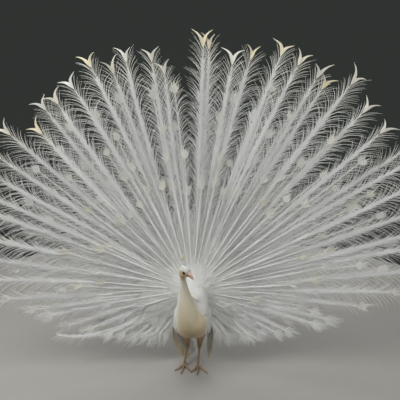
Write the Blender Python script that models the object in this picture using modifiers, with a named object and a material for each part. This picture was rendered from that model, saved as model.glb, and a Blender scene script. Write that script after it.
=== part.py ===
"""A white peacock standing with its train fanned: the solid parts, at life size.

Metres, +Z up. The bird faces -Y, its left side is +X, and it stands on Z = 0.
Flesh is lofted between stations, feathers are thin fans of joined blades, and toes and claws are tubes.
Every part is one closed solid, and neighbours keep a thin gap.
"""

import math

import bmesh
import bpy
import numpy as np
from mathutils import Euler, Matrix, Vector

# Clearances and thicknesses
GAP = 0.0003
TRIM = 0.0004  # how much larger a trimming copy is than the part that it stands for
TRAIN_THICK = 0.0010
BLADE_THICK = 0.0012
SHIELD_THICK = 0.0030
CREST_THICK = 0.0010

SMOOTH_ANGLE = 50.0  # degrees; a sharper edge stays a crease

# Rings round the body
BODY_SIDES = 16
BODY_SQUARENESS = 2.9  # 2 is an ellipse, more fills out the corners of a section
BILL_SIDES = 10
RINGS_PER_STATION = 2
NECK_STATION = 11.5  # sections are round from here up

# Trunk and neck stations: back (y, z), belly (y, z), half width, lean to +X, turn about the upright (degrees)
BODY_STATIONS = (
    ((0.262, 0.415), (0.262, 0.385), 0.012, 0.000, 0),
    ((0.250, 0.440), (0.250, 0.350), 0.034, 0.000, 0),
    ((0.205, 0.462), (0.215, 0.310), 0.058, 0.000, 0),
    ((0.135, 0.476), (0.150, 0.275), 0.078, 0.000, 0),
    ((0.060, 0.480), (0.070, 0.261), 0.086, 0.000, 0),
    ((-0.010, 0.474), (-0.020, 0.257), 0.087, 0.000, 0),
    ((-0.052, 0.466), (-0.095, 0.270), 0.086, 0.000, 0),
    ((-0.072, 0.466), (-0.150, 0.298), 0.083, -0.001, 0),
    ((-0.080, 0.474), (-0.182, 0.338), 0.070, -0.006, 0),
    ((-0.083, 0.488), (-0.190, 0.385), 0.051, -0.020, 0),
    ((-0.085, 0.506), (-0.183, 0.440), 0.0385, -0.0285, 3),
    ((-0.086, 0.530), (-0.168, 0.490), 0.0285, -0.0345, 10),
    ((-0.087, 0.557), (-0.151, 0.534), 0.0225, -0.0400, 20),
    ((-0.088, 0.585), (-0.138, 0.573), 0.0175, -0.0440, 29),
    ((-0.087, 0.610), (-0.129, 0.603), 0.0168, -0.0470, 38),
)

# Head, in its own frame: forward and up from the point midway between the eyes
HEAD_CENTRE = Vector((-0.0293, -0.133, 0.650))
HEAD_TURN = math.radians(48.0)
HEAD_NOD = math.radians(20.0)
HEAD_STATIONS = (
    ((-0.0385, -0.0160), (-0.0060, -0.0340), 0.0195),
    ((-0.0400, 0.0020), (0.0020, -0.0285), 0.0205),
    ((-0.0340, 0.0165), (0.0070, -0.0255), 0.0212),
    ((-0.0190, 0.0265), (0.0115, -0.0225), 0.0215),
    ((0.0000, 0.0270), (0.0160, -0.0195), 0.0200),
    ((0.0140, 0.0205), (0.0195, -0.0165), 0.0155),
    ((0.0222, 0.0120), (0.0222, -0.0135), 0.0105),
)
BILL_UPPER_STATIONS = (
    ((0.0226, 0.0105), (0.0226, -0.0038), 0.0085),
    ((0.0350, 0.0075), (0.0350, -0.0047), 0.0068),
    ((0.0470, 0.0005), (0.0470, -0.0062), 0.0045),
    ((0.0555, -0.0080), (0.0550, -0.0098), 0.0022),
    ((0.0595, -0.0135), (0.0585, -0.0140), 0.0008),
)
BILL_LOWER_STATIONS = (
    ((0.0226, -0.0043), (0.0226, -0.0115), 0.0075),
    ((0.0350, -0.0052), (0.0350, -0.0115), 0.0060),
    ((0.0460, -0.0067), (0.0460, -0.0108), 0.0040),
    ((0.0525, -0.0088), (0.0525, -0.0103), 0.0015),
)
EYE_RADIUS = 0.0085
EYE_ASIDE = 0.0146

# Crest: a narrow fan of shafts that stands on the crown
CREST_BLADES = 5
CREST_ROOT = (-0.008, 0.020)
CREST_LEAN = (22.0, 50.0)  # degrees back from the head's own upright
CREST_LENGTH = 0.062

# Train: raised covert feathers, three to a sector
TRAIN_CENTRE = Vector((0.0, 0.150, 0.443))
TRAIN_SECTORS = 15
FEATHERS_PER_SECTOR = 3
TRAIN_ANGLES = (-60.0, 240.0)
TRAIN_LEAN = 0.12  # backward slope of the fan
TRAIN_DISH = 0.133  # forward bow of the fan, per metre
TRAIN_REACH = 1.29
TRAIN_LOPSIDED = 0.065
TRAIN_RAGGED = 0.045
TRAIN_LONG_SIDE = 48.0
TRAIN_LOWEST = 0.165
TRAIN_HEM_START = 0.50  # the lower hem is level to here, and then rises outward
TRAIN_HEM_RISE = 0.44
TRAIN_UPSWEEP = 0.10
TRAIN_ROOT = 0.020
TRAIN_ROWS = (0.0, 0.25, 0.50, 0.75, 0.86, 0.93, 1.0)
TRAIN_WIDTHS = (1.0, 1.0, 1.0, 1.0, 0.80, 0.50, 0.74)
TRAIN_CLEFT = 0.955
TRAIN_KEEL = 0.0025
KEEL_START = 0.40  # share of a feather over which its keel grows

# Shield of short back feathers that lies on the front of the train
SHIELD_BLADES = 9
SHIELD_ANGLES = (-22.0, 202.0)
SHIELD_REACH = 0.38
SHIELD_CLEAR = 0.0048  # room for the flats of the two curved sheets

# Tail: stiff feathers that prop the train from behind
TAIL_CENTRE = Vector((0.0, 0.200, 0.440))
TAIL_BLADES = 12
TAIL_ANGLES = (4.0, 176.0)
TAIL_REACH = 0.47
TAIL_LEAN = 0.15

# Vent: the soft mass under the tail
VENT_CENTRE = (0.0, 0.185, 0.290)
VENT_RADII = (0.070, 0.075, 0.085)

# Wings: a pad of coverts on each flank, and the flight feathers that hang from it
PAD_CENTRE = (0.080, 0.005, 0.325)
PAD_RADII = (0.023, 0.115, 0.068)
PAD_TILT = math.radians(-10.0)
FLIGHT_BLADES = 6
FLIGHT_SLOTS = (0.0, 0.25, 0.5, 0.75, 1.0)
FLIGHT_ROOTS = ((0.094, -0.015, 0.310), (0.094, 0.000, 0.313), (0.093, 0.020, 0.317), (0.092, 0.040, 0.323),
                (0.090, 0.060, 0.330))
FLIGHT_BENDS = {
    "left": ((0.128, 0.035, 0.160), (0.118, 0.065, 0.178), (0.112, 0.090, 0.198), (0.106, 0.110, 0.218),
             (0.100, 0.125, 0.240)),
    "right": ((0.128, 0.060, 0.120), (0.110, 0.090, 0.150), (0.104, 0.105, 0.185), (0.102, 0.115, 0.212),
              (0.100, 0.125, 0.240)),
}
FLIGHT_TIPS = {
    "left": ((0.084, 0.088, 0.014), (0.080, 0.145, 0.055), (0.082, 0.185, 0.100), (0.084, 0.210, 0.145),
             (0.085, 0.222, 0.180)),
    "right": ((0.022, 0.125, 0.006), (-0.016, 0.160, 0.032), (0.000, 0.195, 0.085), (0.045, 0.215, 0.140),
              (0.082, 0.222, 0.180)),
}
FLIGHT_ROWS = (0.0, 0.30, 0.55, 0.76, 0.92, 1.0)
FLIGHT_WIDTHS = (1.0, 1.0, 1.0, 1.0, 0.78, 0.16)

# Legs: hip, ankle, foot joint and toe tips of each side
LEG_SIDES = 8
HIP = {"left": (0.050, 0.035, 0.310), "right": (-0.050, 0.035, 0.310)}
ANKLE = {"left": (0.037, 0.072, 0.120), "right": (-0.031, 0.077, 0.120)}
FOOT_JOINT = {"left": (0.028, 0.056, 0.020), "right": (-0.050, 0.065, 0.020)}
THIGH_RADII = (0.037, 0.035, 0.0245, 0.0155, 0.0100)
THIGH_STEPS = (0.0, 0.25, 0.55, 0.80, 0.94)
SHANK_RADII = (0.0092, 0.0068, 0.0062, 0.0066)
SHANK_STEPS = (0.0, 0.16, 0.60, 1.0)
STUB = 0.010
TOE_TIPS = {
    "left": {"inner": (-0.0145, -0.009), "middle": (0.0255, -0.031), "outer": (0.085, -0.0135),
             "rear": (0.022, 0.092)},
    "right": {"inner": (-0.012, 0.008), "middle": (-0.066, -0.022), "outer": (-0.105, 0.010),
              "rear": (-0.043, 0.100)},
}
TOE_RADII = (0.0062, 0.0058, 0.0052, 0.0044)
TOE_SHARES = (0.0, 0.30, 0.62, 1.0)
SOLE_CUT = 0.0009
CLAW_LENGTH = 0.013
CLAW_GAP = 0.0008  # the ends of toe and claw aren't quite parallel
CLAW_RADII = (0.0034, 0.0026, 0.0010)
CLAW_BEND = 0.0004  # rise of the claw's middle
CLAW_DROP = 0.0013  # fall of its tip
SPUR_LENGTH = 0.020
SPUR_RADIUS = 0.0042
SPUR_AT = 0.66  # share of the shank
SPUR_INWARD = 0.35
SPUR_DOWN = 0.15
KNUCKLE_RADII = (0.0078, 0.0066)  # the foot's joint, and the knob under it
KNUCKLE_DROP = 0.004
TOE_ARCH = 0.45  # share of a toe that comes down from the joint
TOE_ARCH_POWER = 1.5
TOE_CLEAR = 0.006  # how far the arch starts under the joint

# Finishes: colour, roughness
FINISHES = {
    "white_feather": ((0.80, 0.79, 0.75), 0.75),
    "breast_feather": ((0.72, 0.62, 0.43), 0.80),
    "face_feather": ((0.76, 0.68, 0.53), 0.75),
    "thigh_feather": ((0.55, 0.40, 0.22), 0.80),
    "leg_scale": ((0.47, 0.38, 0.30), 0.55),
    "horn": ((0.42, 0.32, 0.27), 0.40),
    "eye": ((0.05, 0.03, 0.03), 0.15),
}


def clear_scene():
    """Empty the file of objects."""
    for obj in list(bpy.data.objects):
        bpy.data.objects.remove(obj, do_unlink=True)


def new_collection(name):
    """Make a collection in the scene."""
    made = bpy.data.collections.new(name)
    bpy.context.scene.collection.children.link(made)
    return made


def new_material(label, finish):
    """Give a part its own material, from one of the named finishes."""
    colour, roughness = FINISHES[finish]
    made = bpy.data.materials.new(label + "_finish")
    made.use_nodes = True
    shader = made.node_tree.nodes["Principled BSDF"]
    shader.inputs["Base Color"].default_value = (*colour, 1.0)
    shader.inputs["Roughness"].default_value = roughness
    shader.inputs["Metallic"].default_value = 0.0
    made.diffuse_color = (*colour, 1.0)
    return made


class Workshop:
    """Holds the collections and makes every object in them."""

    def __init__(self):
        clear_scene()
        self.parts = new_collection("peacock")
        self.cutters = new_collection("cutters")
        self.holder = bpy.data.objects.new("peacock_origin", None)
        self.parts.objects.link(self.holder)

    def adopt(self, obj, finish=None):
        """Put an object in its collection; one with no finish is a cutter."""
        for owner in list(obj.users_collection):
            owner.objects.unlink(obj)
        home = self.parts if finish else self.cutters
        home.objects.link(obj)
        obj.parent = self.holder
        if finish:
            obj.data.materials.clear()
            obj.data.materials.append(new_material(obj.name, finish))
        else:
            obj.hide_render = True
            obj.display_type = "WIRE"
        return obj

    def from_bmesh(self, label, bm, finish=None, smooth_angle=None):
        """Turn a bmesh into an object."""
        bmesh.ops.recalc_face_normals(bm, faces=bm.faces)
        mesh = bpy.data.meshes.new(label)
        bm.to_mesh(mesh)
        bm.free()
        obj = bpy.data.objects.new(label, mesh)
        if smooth_angle is not None:
            mesh.shade_smooth()
            mesh.set_sharp_from_angle(angle=math.radians(smooth_angle))
        return self.adopt(obj, finish)

    def tube(self, label, points, radii, finish=None, sides=LEG_SIDES):
        """Sweep a round section of changing radius along points, as a welded mesh."""
        curve = bpy.data.curves.new(label, "CURVE")
        curve.dimensions = "3D"
        curve.bevel_depth = 1.0
        curve.bevel_resolution = (sides - 4) // 2
        curve.use_fill_caps = True
        spline = curve.splines.new("POLY")
        spline.points.add(len(points) - 1)
        for spot, place, radius in zip(spline.points, points, radii):
            spot.co = (*place, 1.0)
            spot.radius = radius
        draft = bpy.data.objects.new(label + "_draft", curve)
        self.cutters.objects.link(draft)
        bpy.context.view_layer.update()
        graph = bpy.context.evaluated_depsgraph_get()
        mesh = bpy.data.meshes.new_from_object(draft.evaluated_get(graph))
        bpy.data.objects.remove(draft, do_unlink=True)
        bm = bmesh.new()
        bm.from_mesh(mesh)
        bpy.data.meshes.remove(mesh)
        bmesh.ops.remove_doubles(bm, verts=bm.verts, dist=1e-6)
        return self.from_bmesh(label, bm, finish, smooth_angle=SMOOTH_ANGLE)

    def ball(self, label, centre, radii, finish=None, segments=16, rings=10, turn=None):
        """Make an ellipsoid, turned about its own middle."""
        bpy.ops.mesh.primitive_uv_sphere_add(segments=segments, ring_count=rings, radius=1.0)
        obj = bpy.context.active_object
        obj.name = label
        obj.data.name = label
        shape = Matrix.Diagonal((*radii, 1.0))
        if turn is not None:
            shape = turn.to_matrix().to_4x4() @ shape
        obj.data.transform(shape)
        obj.data.shade_smooth()
        obj.location = centre
        return self.adopt(obj, finish)

    def boolean(self, obj, other, operation):
        """Cut an object by another, or join them, with a live modifier."""
        step = obj.modifiers.new(operation.lower() + "_" + other.name, "BOOLEAN")
        step.operation = operation
        step.solver = "EXACT"
        step.object = other

    def cut(self, obj, *others):
        """Take other shapes away from an object."""
        for other in others:
            self.boolean(obj, other, "DIFFERENCE")
        return obj


# ---------------------------------------------------------------- lofted flesh


def spline_row(table, t):
    """Read a smooth curve through the rows of a table, at row number t."""
    last = len(table) - 1
    i = min(int(math.floor(t)), last - 1)
    u = t - i
    before = table[i - 1] if i > 0 else 2 * table[i] - table[i + 1]
    after = table[i + 2] if i + 2 <= last else 2 * table[i + 1] - table[i]
    near, far = table[i], table[i + 1]
    return 0.5 * (
        2 * near
        + (far - before) * u
        + (2 * before - 5 * near + 4 * far - after) * u**2
        + (3 * near - before - 3 * far + after) * u**3
    )


def head_axes():
    """Forward, up and left of the head, after its nod and turn."""
    forward = Vector((math.sin(HEAD_TURN) * math.cos(HEAD_NOD), -math.cos(HEAD_TURN) * math.cos(HEAD_NOD),
                      -math.sin(HEAD_NOD)))
    up = Vector((math.sin(HEAD_TURN) * math.sin(HEAD_NOD), -math.cos(HEAD_TURN) * math.sin(HEAD_NOD),
                 math.cos(HEAD_NOD)))
    left = Vector((math.cos(HEAD_TURN), math.sin(HEAD_TURN), 0.0))
    return forward, up, left


def head_point(forward, up, left=0.0):
    """Place a point given in the head's own frame."""
    ahead, above, aside = head_axes()
    return HEAD_CENTRE + forward * ahead + up * above + left * aside


def body_row(station):
    """Back point, belly point and half-width arrow of a trunk or neck station."""
    back, belly, half, lean, turn = station
    angle = math.radians(turn)
    aside = (half * math.cos(angle), half * math.sin(angle), 0.0)
    return np.array((lean, *back, lean, *belly, *aside))


def head_row(station):
    """Back point, belly point and half-width arrow of a station in the head's frame."""
    back, belly, half = station
    return np.array((*head_point(*back), *head_point(*belly), *(half * head_axes()[2])))


def body_table():
    """All stations from the rump to the base of the bill."""
    return np.array([body_row(s) for s in BODY_STATIONS] + [head_row(s) for s in HEAD_STATIONS])


def section(row, sides, grow=0.0, squareness=2.0):
    """Points of a rounded ring, made larger all round by grow."""
    back, belly, aside = row[0:3], row[3:6], row[6:9]
    middle, upright = (back + belly) / 2, (back - belly) / 2
    upright = upright * (1 + grow / np.linalg.norm(upright))
    aside = aside * (1 + grow / np.linalg.norm(aside))
    angles = 2 * math.pi * np.arange(sides) / sides
    across, along_up = np.sin(angles), np.cos(angles)
    power = 2 / squareness
    across = np.sign(across) * np.abs(across) ** power
    along_up = np.sign(along_up) * np.abs(along_up) ** power
    return middle + np.outer(along_up, upright) + np.outer(across, aside)


def loft(rings):
    """Skin a list of rings, closed at both ends."""
    bm = bmesh.new()
    loops = [[bm.verts.new(p) for p in ring] for ring in rings]
    sides = len(loops[0])
    for lower, upper in zip(loops[:-1], loops[1:]):
        for i in range(sides):
            j = (i + 1) % sides
            bm.faces.new((lower[i], lower[j], upper[j], upper[i]))
    bm.faces.new(loops[0])
    bm.faces.new(loops[-1])
    return bm


def seam_step(table, t):
    """Share of a station that keeps half a gap at a cut across the body."""
    near = 0.01  # share of a station over which the travel is measured
    travel = np.abs(spline_row(table, t + near) - spline_row(table, t - near))
    slow = min(np.linalg.norm(travel[0:3]), np.linalg.norm(travel[3:6])) / (2 * near)
    return GAP / 2 / slow


def body_rings(table, first, last, grow=0.0, inner=True):
    """Rings of one length of the body; inner ends draw back by half a gap."""
    start, stop = first, last
    if inner and first > 0:
        start = first + seam_step(table, first)
    if inner and last < len(table) - 1:
        stop = last - seam_step(table, last)
    count = max(2, int(round((last - first) * RINGS_PER_STATION))) + 1
    rings = []
    for t in np.linspace(start, stop, count):
        fade = min(1.0, max(0.0, (NECK_STATION - t) / 3))
        squareness = 2 + (BODY_SQUARENESS - 2) * fade
        rings.append(section(spline_row(table, t), BODY_SIDES, grow, squareness))
    return rings


def make_body(shop):
    """Trunk, neck in two lengths, and head."""
    table = body_table()
    neck_start, neck_middle, head_start, last = 8.0, NECK_STATION, 15.0, float(len(table) - 1)
    made = {}
    for label, first, end, finish in (
        ("trunk", 0.0, neck_start, "breast_feather"),
        ("neck_lower", neck_start, neck_middle, "breast_feather"),
        ("neck_upper", neck_middle, head_start, "face_feather"),
        ("head", head_start, last, "face_feather"),
    ):
        bm = loft(body_rings(table, first, end))
        made[label] = shop.from_bmesh(label, bm, finish, smooth_angle=SMOOTH_ANGLE)
    made["trunk_cutter"] = shop.from_bmesh("trunk_cutter", loft(body_rings(table, 0.0, neck_start, TRIM, False)))
    made["head_cutter"] = shop.from_bmesh("head_cutter", loft(body_rings(table, head_start, last, TRIM, False)))
    return made


def make_bill(shop):
    """Upper and lower bill."""
    for label, stations in (("bill_upper", BILL_UPPER_STATIONS), ("bill_lower", BILL_LOWER_STATIONS)):
        table = np.array([head_row(s) for s in stations])
        steps = np.linspace(0, len(table) - 1, 2 * len(table) - 1)
        rings = [section(spline_row(table, t), BILL_SIDES) for t in steps]
        shop.from_bmesh(label, loft(rings), "horn", smooth_angle=SMOOTH_ANGLE)


def make_eyes(shop, head):
    """Both eyes, and the sockets that hold them."""
    for side, sign in (("left", 1), ("right", -1)):
        place = head_point(0.0, 0.0, sign * EYE_ASIDE)
        shop.ball("eye_" + side, place, (EYE_RADIUS,) * 3, "eye", segments=10, rings=6)
        socket = shop.ball("socket_" + side, place, (EYE_RADIUS + GAP,) * 3, segments=10, rings=6)
        shop.cut(head, socket)


# ---------------------------------------------------------------- feather fans


def feather_fan(shop, label, path, edges, rows, widths, finish, thickness, keel=(0, 0, 0), cleft=None, inset=0.0):
    """Join blades side by side into one thin closed fan.

    path(k, t) places the fan's slot k (a number that runs across the fan) at the share t of its length. Each blade
    fills its slot between two edges by the share that widths gives at each row, so blades part towards the tips.
    A cleft draws back the middle of the last row, and keel lifts the shafts.
    """
    bm = bmesh.new()
    keel = Vector(keel)
    for left, right in zip(edges[:-1], edges[1:]):
        middle = (left + right) / 2
        grid = []
        for t, width in zip(rows, widths):
            shaft_t = cleft if cleft is not None and t == rows[-1] else t
            slots = (middle + (left - middle) * width, middle, middle + (right - middle) * width)
            points = [path(k, share) for k, share in zip(slots, (t, shaft_t, t))]
            points[1] = points[1] + keel * min(1.0, t / KEEL_START)
            if left == edges[0]:
                points[0] = points[0] + (points[1] - points[0]).normalized() * inset
            if right == edges[-1]:
                points[2] = points[2] + (points[1] - points[2]).normalized() * inset
            grid.append([bm.verts.new(p) for p in points])
        for near, far in zip(grid[:-1], grid[1:]):
            for i in range(2):
                bm.faces.new((near[i], near[i + 1], far[i + 1], far[i]))
    bmesh.ops.remove_doubles(bm, verts=bm.verts, dist=1e-5)
    fan = shop.from_bmesh(label, bm, finish)
    shell = fan.modifiers.new("thickness", "SOLIDIFY")
    shell.thickness = thickness
    shell.offset = 0.0
    shell.use_even_offset = True
    return fan


def train_surface(x, rise):
    """Depth of the train at a place across and above its centre."""
    return TRAIN_CENTRE.y + TRAIN_LEAN * rise - TRAIN_DISH * (x * x + rise * rise)


def ragged(number):
    """A fixed unevenness between -1 and 1 for the feather of this number."""
    return math.sin(2.4 * number) * 0.6 + math.sin(5.3 * number + 1.0) * 0.4


def train_reach(degrees):
    """Length of a train feather at an angle, cut short by the level hem and by the hem that rises outward."""
    first, last = TRAIN_ANGLES
    count = TRAIN_SECTORS * FEATHERS_PER_SECTOR
    slot = (degrees - first) / (last - first) * count - 0.5
    low = math.floor(slot)
    uneven = ragged(low) * (1 - (slot - low)) + ragged(low + 1) * (slot - low)
    reach = TRAIN_REACH * (1 + TRAIN_LOPSIDED * math.cos(math.radians(degrees - TRAIN_LONG_SIDE)))
    reach *= 1 + TRAIN_RAGGED * uneven
    across, above = abs(math.cos(math.radians(degrees))), math.sin(math.radians(degrees))
    drop = TRAIN_CENTRE.z - TRAIN_LOWEST
    shares = [1 / reach, -above / drop, (TRAIN_HEM_RISE * across - above) / (drop + TRAIN_HEM_RISE * TRAIN_HEM_START)]
    return sum(max(0.0, share) ** 8 for share in shares) ** -0.125


def train_point(degrees, share, forward=0.0, reach=None):
    """Place a point of the train, or of a layer that lies forward of it."""
    length = train_reach(degrees) if reach is None else reach
    radius = TRAIN_ROOT + share * (length - TRAIN_ROOT)
    angle = math.radians(degrees)
    span = radius / TRAIN_REACH
    x = radius * math.cos(angle)
    rise = radius * math.sin(angle) + TRAIN_UPSWEEP * abs(math.cos(angle)) * (span**2 - span / 2)
    return Vector((x, train_surface(x, rise) - forward, TRAIN_CENTRE.z + rise))


def make_train(shop, trunk_cutter):
    """The raised train, in sectors from the bird's left, over its back, to its right."""
    edges = np.linspace(*TRAIN_ANGLES, TRAIN_SECTORS * FEATHERS_PER_SECTOR + 1)
    for number in range(TRAIN_SECTORS):
        first = number * FEATHERS_PER_SECTOR
        sector = feather_fan(
            shop, f"train_{number + 1:02d}", train_point, list(edges[first:first + FEATHERS_PER_SECTOR + 1]),
            TRAIN_ROWS, TRAIN_WIDTHS, "white_feather", TRAIN_THICK, keel=(0, TRAIN_KEEL, 0), cleft=TRAIN_CLEFT,
            inset=GAP)
        shop.cut(sector, trunk_cutter)


def make_shield(shop, trunk_cutter):
    """Short back feathers in front of the train."""
    forward = (TRAIN_THICK + SHIELD_THICK) / 2 + SHIELD_CLEAR

    def path(k, t):
        return train_point(k, t, forward, SHIELD_REACH)

    edges = list(np.linspace(*SHIELD_ANGLES, SHIELD_BLADES + 1))
    shield = feather_fan(shop, "back_feathers", path, edges, (0.0, 0.4, 0.75, 0.9, 1.0), (1.0, 1.0, 1.0, 0.8, 0.35),
                         "white_feather", SHIELD_THICK)
    shop.cut(shield, trunk_cutter)


def make_tail(shop, trunk_cutter):
    """Stiff tail feathers behind the train."""

    def path(k, t):
        angle = math.radians(k)
        radius = TRAIN_ROOT + t * (TAIL_REACH - TRAIN_ROOT)
        rise = radius * math.sin(angle)
        return TAIL_CENTRE + Vector((radius * math.cos(angle), TAIL_LEAN * rise, rise))

    edges = list(np.linspace(*TAIL_ANGLES, TAIL_BLADES + 1))
    tail = feather_fan(shop, "tail", path, edges, (0.0, 0.5, 0.86, 0.96, 1.0), (1.0, 1.0, 1.0, 0.85, 0.35),
                       "white_feather", BLADE_THICK)
    shop.cut(tail, trunk_cutter)


def make_crest(shop, head_cutter):
    """The fan of crown shafts, in the head's middle plane."""

    def path(k, t):
        angle = math.radians(k)
        reach = t * CREST_LENGTH
        return head_point(CREST_ROOT[0] - reach * math.sin(angle), CREST_ROOT[1] + reach * math.cos(angle))

    edges = list(np.linspace(*CREST_LEAN, CREST_BLADES + 1))
    crest = feather_fan(shop, "crest", path, edges, (0.06, 0.40, 0.70, 0.90, 1.0), (1.0, 1.0, 0.62, 0.90, 0.40),
                        "white_feather", CREST_THICK)
    shop.cut(crest, head_cutter)


def flight_point(side, k, t):
    """Place a point on a hanging flight feather: a bent line from root to tip."""
    sign = 1 if side == "left" else -1
    mirror = np.array((sign, 1, 1))

    def read(table):
        columns = np.array(table).T
        return np.array([np.interp(k, FLIGHT_SLOTS, column) for column in columns]) * mirror

    root, bend, tip = read(FLIGHT_ROOTS), read(FLIGHT_BENDS[side]), read(FLIGHT_TIPS[side])
    return Vector((1 - t) ** 2 * root + 2 * t * (1 - t) * bend + t**2 * tip)


def make_wings(shop, trunk_cutter):
    """A pad of coverts on each flank and the flight feathers below it; gives the pads' trimming copies."""
    pad_cutters = {}
    for side, sign in (("left", 1), ("right", -1)):
        centre = (sign * PAD_CENTRE[0], PAD_CENTRE[1], PAD_CENTRE[2])
        turn = Euler((PAD_TILT, 0, 0))
        pad = shop.ball("wing_" + side, centre, PAD_RADII, "white_feather", segments=16, rings=8, turn=turn)
        larger = tuple(r + TRIM for r in PAD_RADII)
        pad_cutter = shop.ball("wing_cutter_" + side, centre, larger, segments=16, rings=8, turn=turn)
        shop.cut(pad, trunk_cutter)
        pad_cutters[side] = pad_cutter

        def path(k, t, side=side):
            return flight_point(side, k, t)

        edges = list(np.linspace(0, 1, FLIGHT_BLADES + 1))
        flight = feather_fan(shop, "flight_" + side, path, edges, FLIGHT_ROWS, FLIGHT_WIDTHS, "white_feather",
                             BLADE_THICK)
        shop.cut(flight, trunk_cutter, pad_cutter)
    return pad_cutters


# ---------------------------------------------------------------- legs


def along(start, end, share):
    """A point part of the way between two."""
    return Vector(start).lerp(Vector(end), share)


def make_leg(shop, side, flank_cutters, floor_cutter):
    """Thigh, shank with its spur, foot and claws of one side."""
    hip, ankle, joint = Vector(HIP[side]), Vector(ANKLE[side]), Vector(FOOT_JOINT[side])
    down = (joint - ankle).normalized()
    thigh_path = [along(hip, ankle - down * STUB, s) for s in THIGH_STEPS[:-1]]
    thigh_path += [ankle - down * STUB, ankle - down * GAP]
    thigh = shop.tube("thigh_" + side, thigh_path, THIGH_RADII + (THIGH_RADII[-1],), "thigh_feather", sides=10)
    shop.cut(thigh, *flank_cutters)

    shank_end = joint - down * (STUB + GAP)
    shank_path = [along(ankle, shank_end, s) for s in SHANK_STEPS]
    shop.tube("shank_" + side, shank_path, SHANK_RADII, "leg_scale")
    shank_cutter = shop.tube("shank_cutter_" + side, shank_path, [r + GAP for r in SHANK_RADII])
    root = along(ankle, shank_end, SPUR_AT)
    inward = -SPUR_INWARD if side == "left" else SPUR_INWARD
    heading = Vector((inward, 1.0, -SPUR_DOWN)).normalized()
    spur = shop.tube("spur_" + side, [root, root + heading * SPUR_LENGTH * 0.5, root + heading * SPUR_LENGTH],
                     (SPUR_RADIUS, SPUR_RADIUS * 0.75, SPUR_RADIUS * 0.2), "horn")
    shop.cut(spur, shank_cutter)

    foot = shop.tube("foot_" + side, [joint - down * STUB, joint, joint + down * KNUCKLE_DROP],
                     (SHANK_RADII[-1], *KNUCKLE_RADII), "leg_scale")
    for name, (x, y) in TOE_TIPS[side].items():
        tip = Vector((x, y, 0.0))
        heading = Vector((x - joint.x, y - joint.y, 0.0)).normalized()
        toe_end = tip - heading * CLAW_LENGTH
        path = []
        for share, radius in zip(TOE_SHARES, TOE_RADII):
            spot = along((joint.x, joint.y, 0.0), toe_end, share)
            lift = (joint.z - TOE_CLEAR) * max(0.0, 1 - share / TOE_ARCH) ** TOE_ARCH_POWER
            path.append(Vector((spot.x, spot.y, radius - SOLE_CUT + lift)))
        toe = shop.tube(f"toe_{name}_{side}", path, TOE_RADII)
        shop.boolean(foot, toe, "UNION")
        level = path[-1].z
        claw_path = [
            path[-1] + heading * CLAW_GAP,
            path[-1] + heading * CLAW_LENGTH * 0.5 + Vector((0, 0, CLAW_BEND)),
            Vector((tip.x, tip.y, level - CLAW_DROP)),
        ]
        shop.tube(f"claw_{name}_{side}", claw_path, CLAW_RADII, "horn", sides=6)
    shop.cut(foot, floor_cutter)


def make_floor_cutter(shop):
    """A block whose top is the ground, which flattens the soles."""
    bpy.ops.mesh.primitive_cube_add(size=1.0)
    block = bpy.context.active_object
    block.name = "floor_cutter"
    block.data.transform(Matrix.Diagonal((1.0, 1.0, 0.1, 1.0)))
    block.location = (0.0, 0.0, -0.05)
    return shop.adopt(block)


def centre_on_origin(shop):
    """Move the whole bird so that the middle of its footprint is at the origin."""
    bpy.context.view_layer.update()
    graph = bpy.context.evaluated_depsgraph_get()
    low, high = np.full(3, np.inf), np.full(3, -np.inf)
    for obj in shop.parts.objects:
        if obj.type != "MESH":
            continue
        mesh = obj.evaluated_get(graph).to_mesh()
        points = np.array([obj.matrix_world @ v.co for v in mesh.vertices])
        low, high = np.minimum(low, points.min(axis=0)), np.maximum(high, points.max(axis=0))
        obj.evaluated_get(graph).to_mesh_clear()
    middle = (low + high) / 2
    shop.holder.location = (-middle[0], -middle[1], -low[2])


def main():
    """Build every part of the bird."""
    shop = Workshop()
    body = make_body(shop)
    make_bill(shop)
    make_eyes(shop, body["head"])
    make_crest(shop, body["head_cutter"])
    pad_cutters = make_wings(shop, body["trunk_cutter"])
    floor_cutter = make_floor_cutter(shop)
    for side in ("left", "right"):
        make_leg(shop, side, (body["trunk_cutter"], pad_cutters[side]), floor_cutter)
    vent = shop.ball("vent", VENT_CENTRE, VENT_RADII, "white_feather", segments=14, rings=8)
    shop.cut(vent, body["trunk_cutter"])
    make_shield(shop, body["trunk_cutter"])
    make_train(shop, body["trunk_cutter"])
    make_tail(shop, body["trunk_cutter"])
    centre_on_origin(shop)


if __name__ == "__main__":
    main()
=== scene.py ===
"""The looks of a white peacock that stands with its train fanned.

Metres, +Z up. The bird faces -Y and its left side is +X. One skin stands for the flesh, and every feather is a
thin closed vane or barb over it. Sizes are in the bird's own frame, which one shift sets over the fixed frame.
"""

import logging
import math
from dataclasses import dataclass, field
from enum import Enum
from functools import partial
from typing import Any, Callable, Iterable

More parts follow.
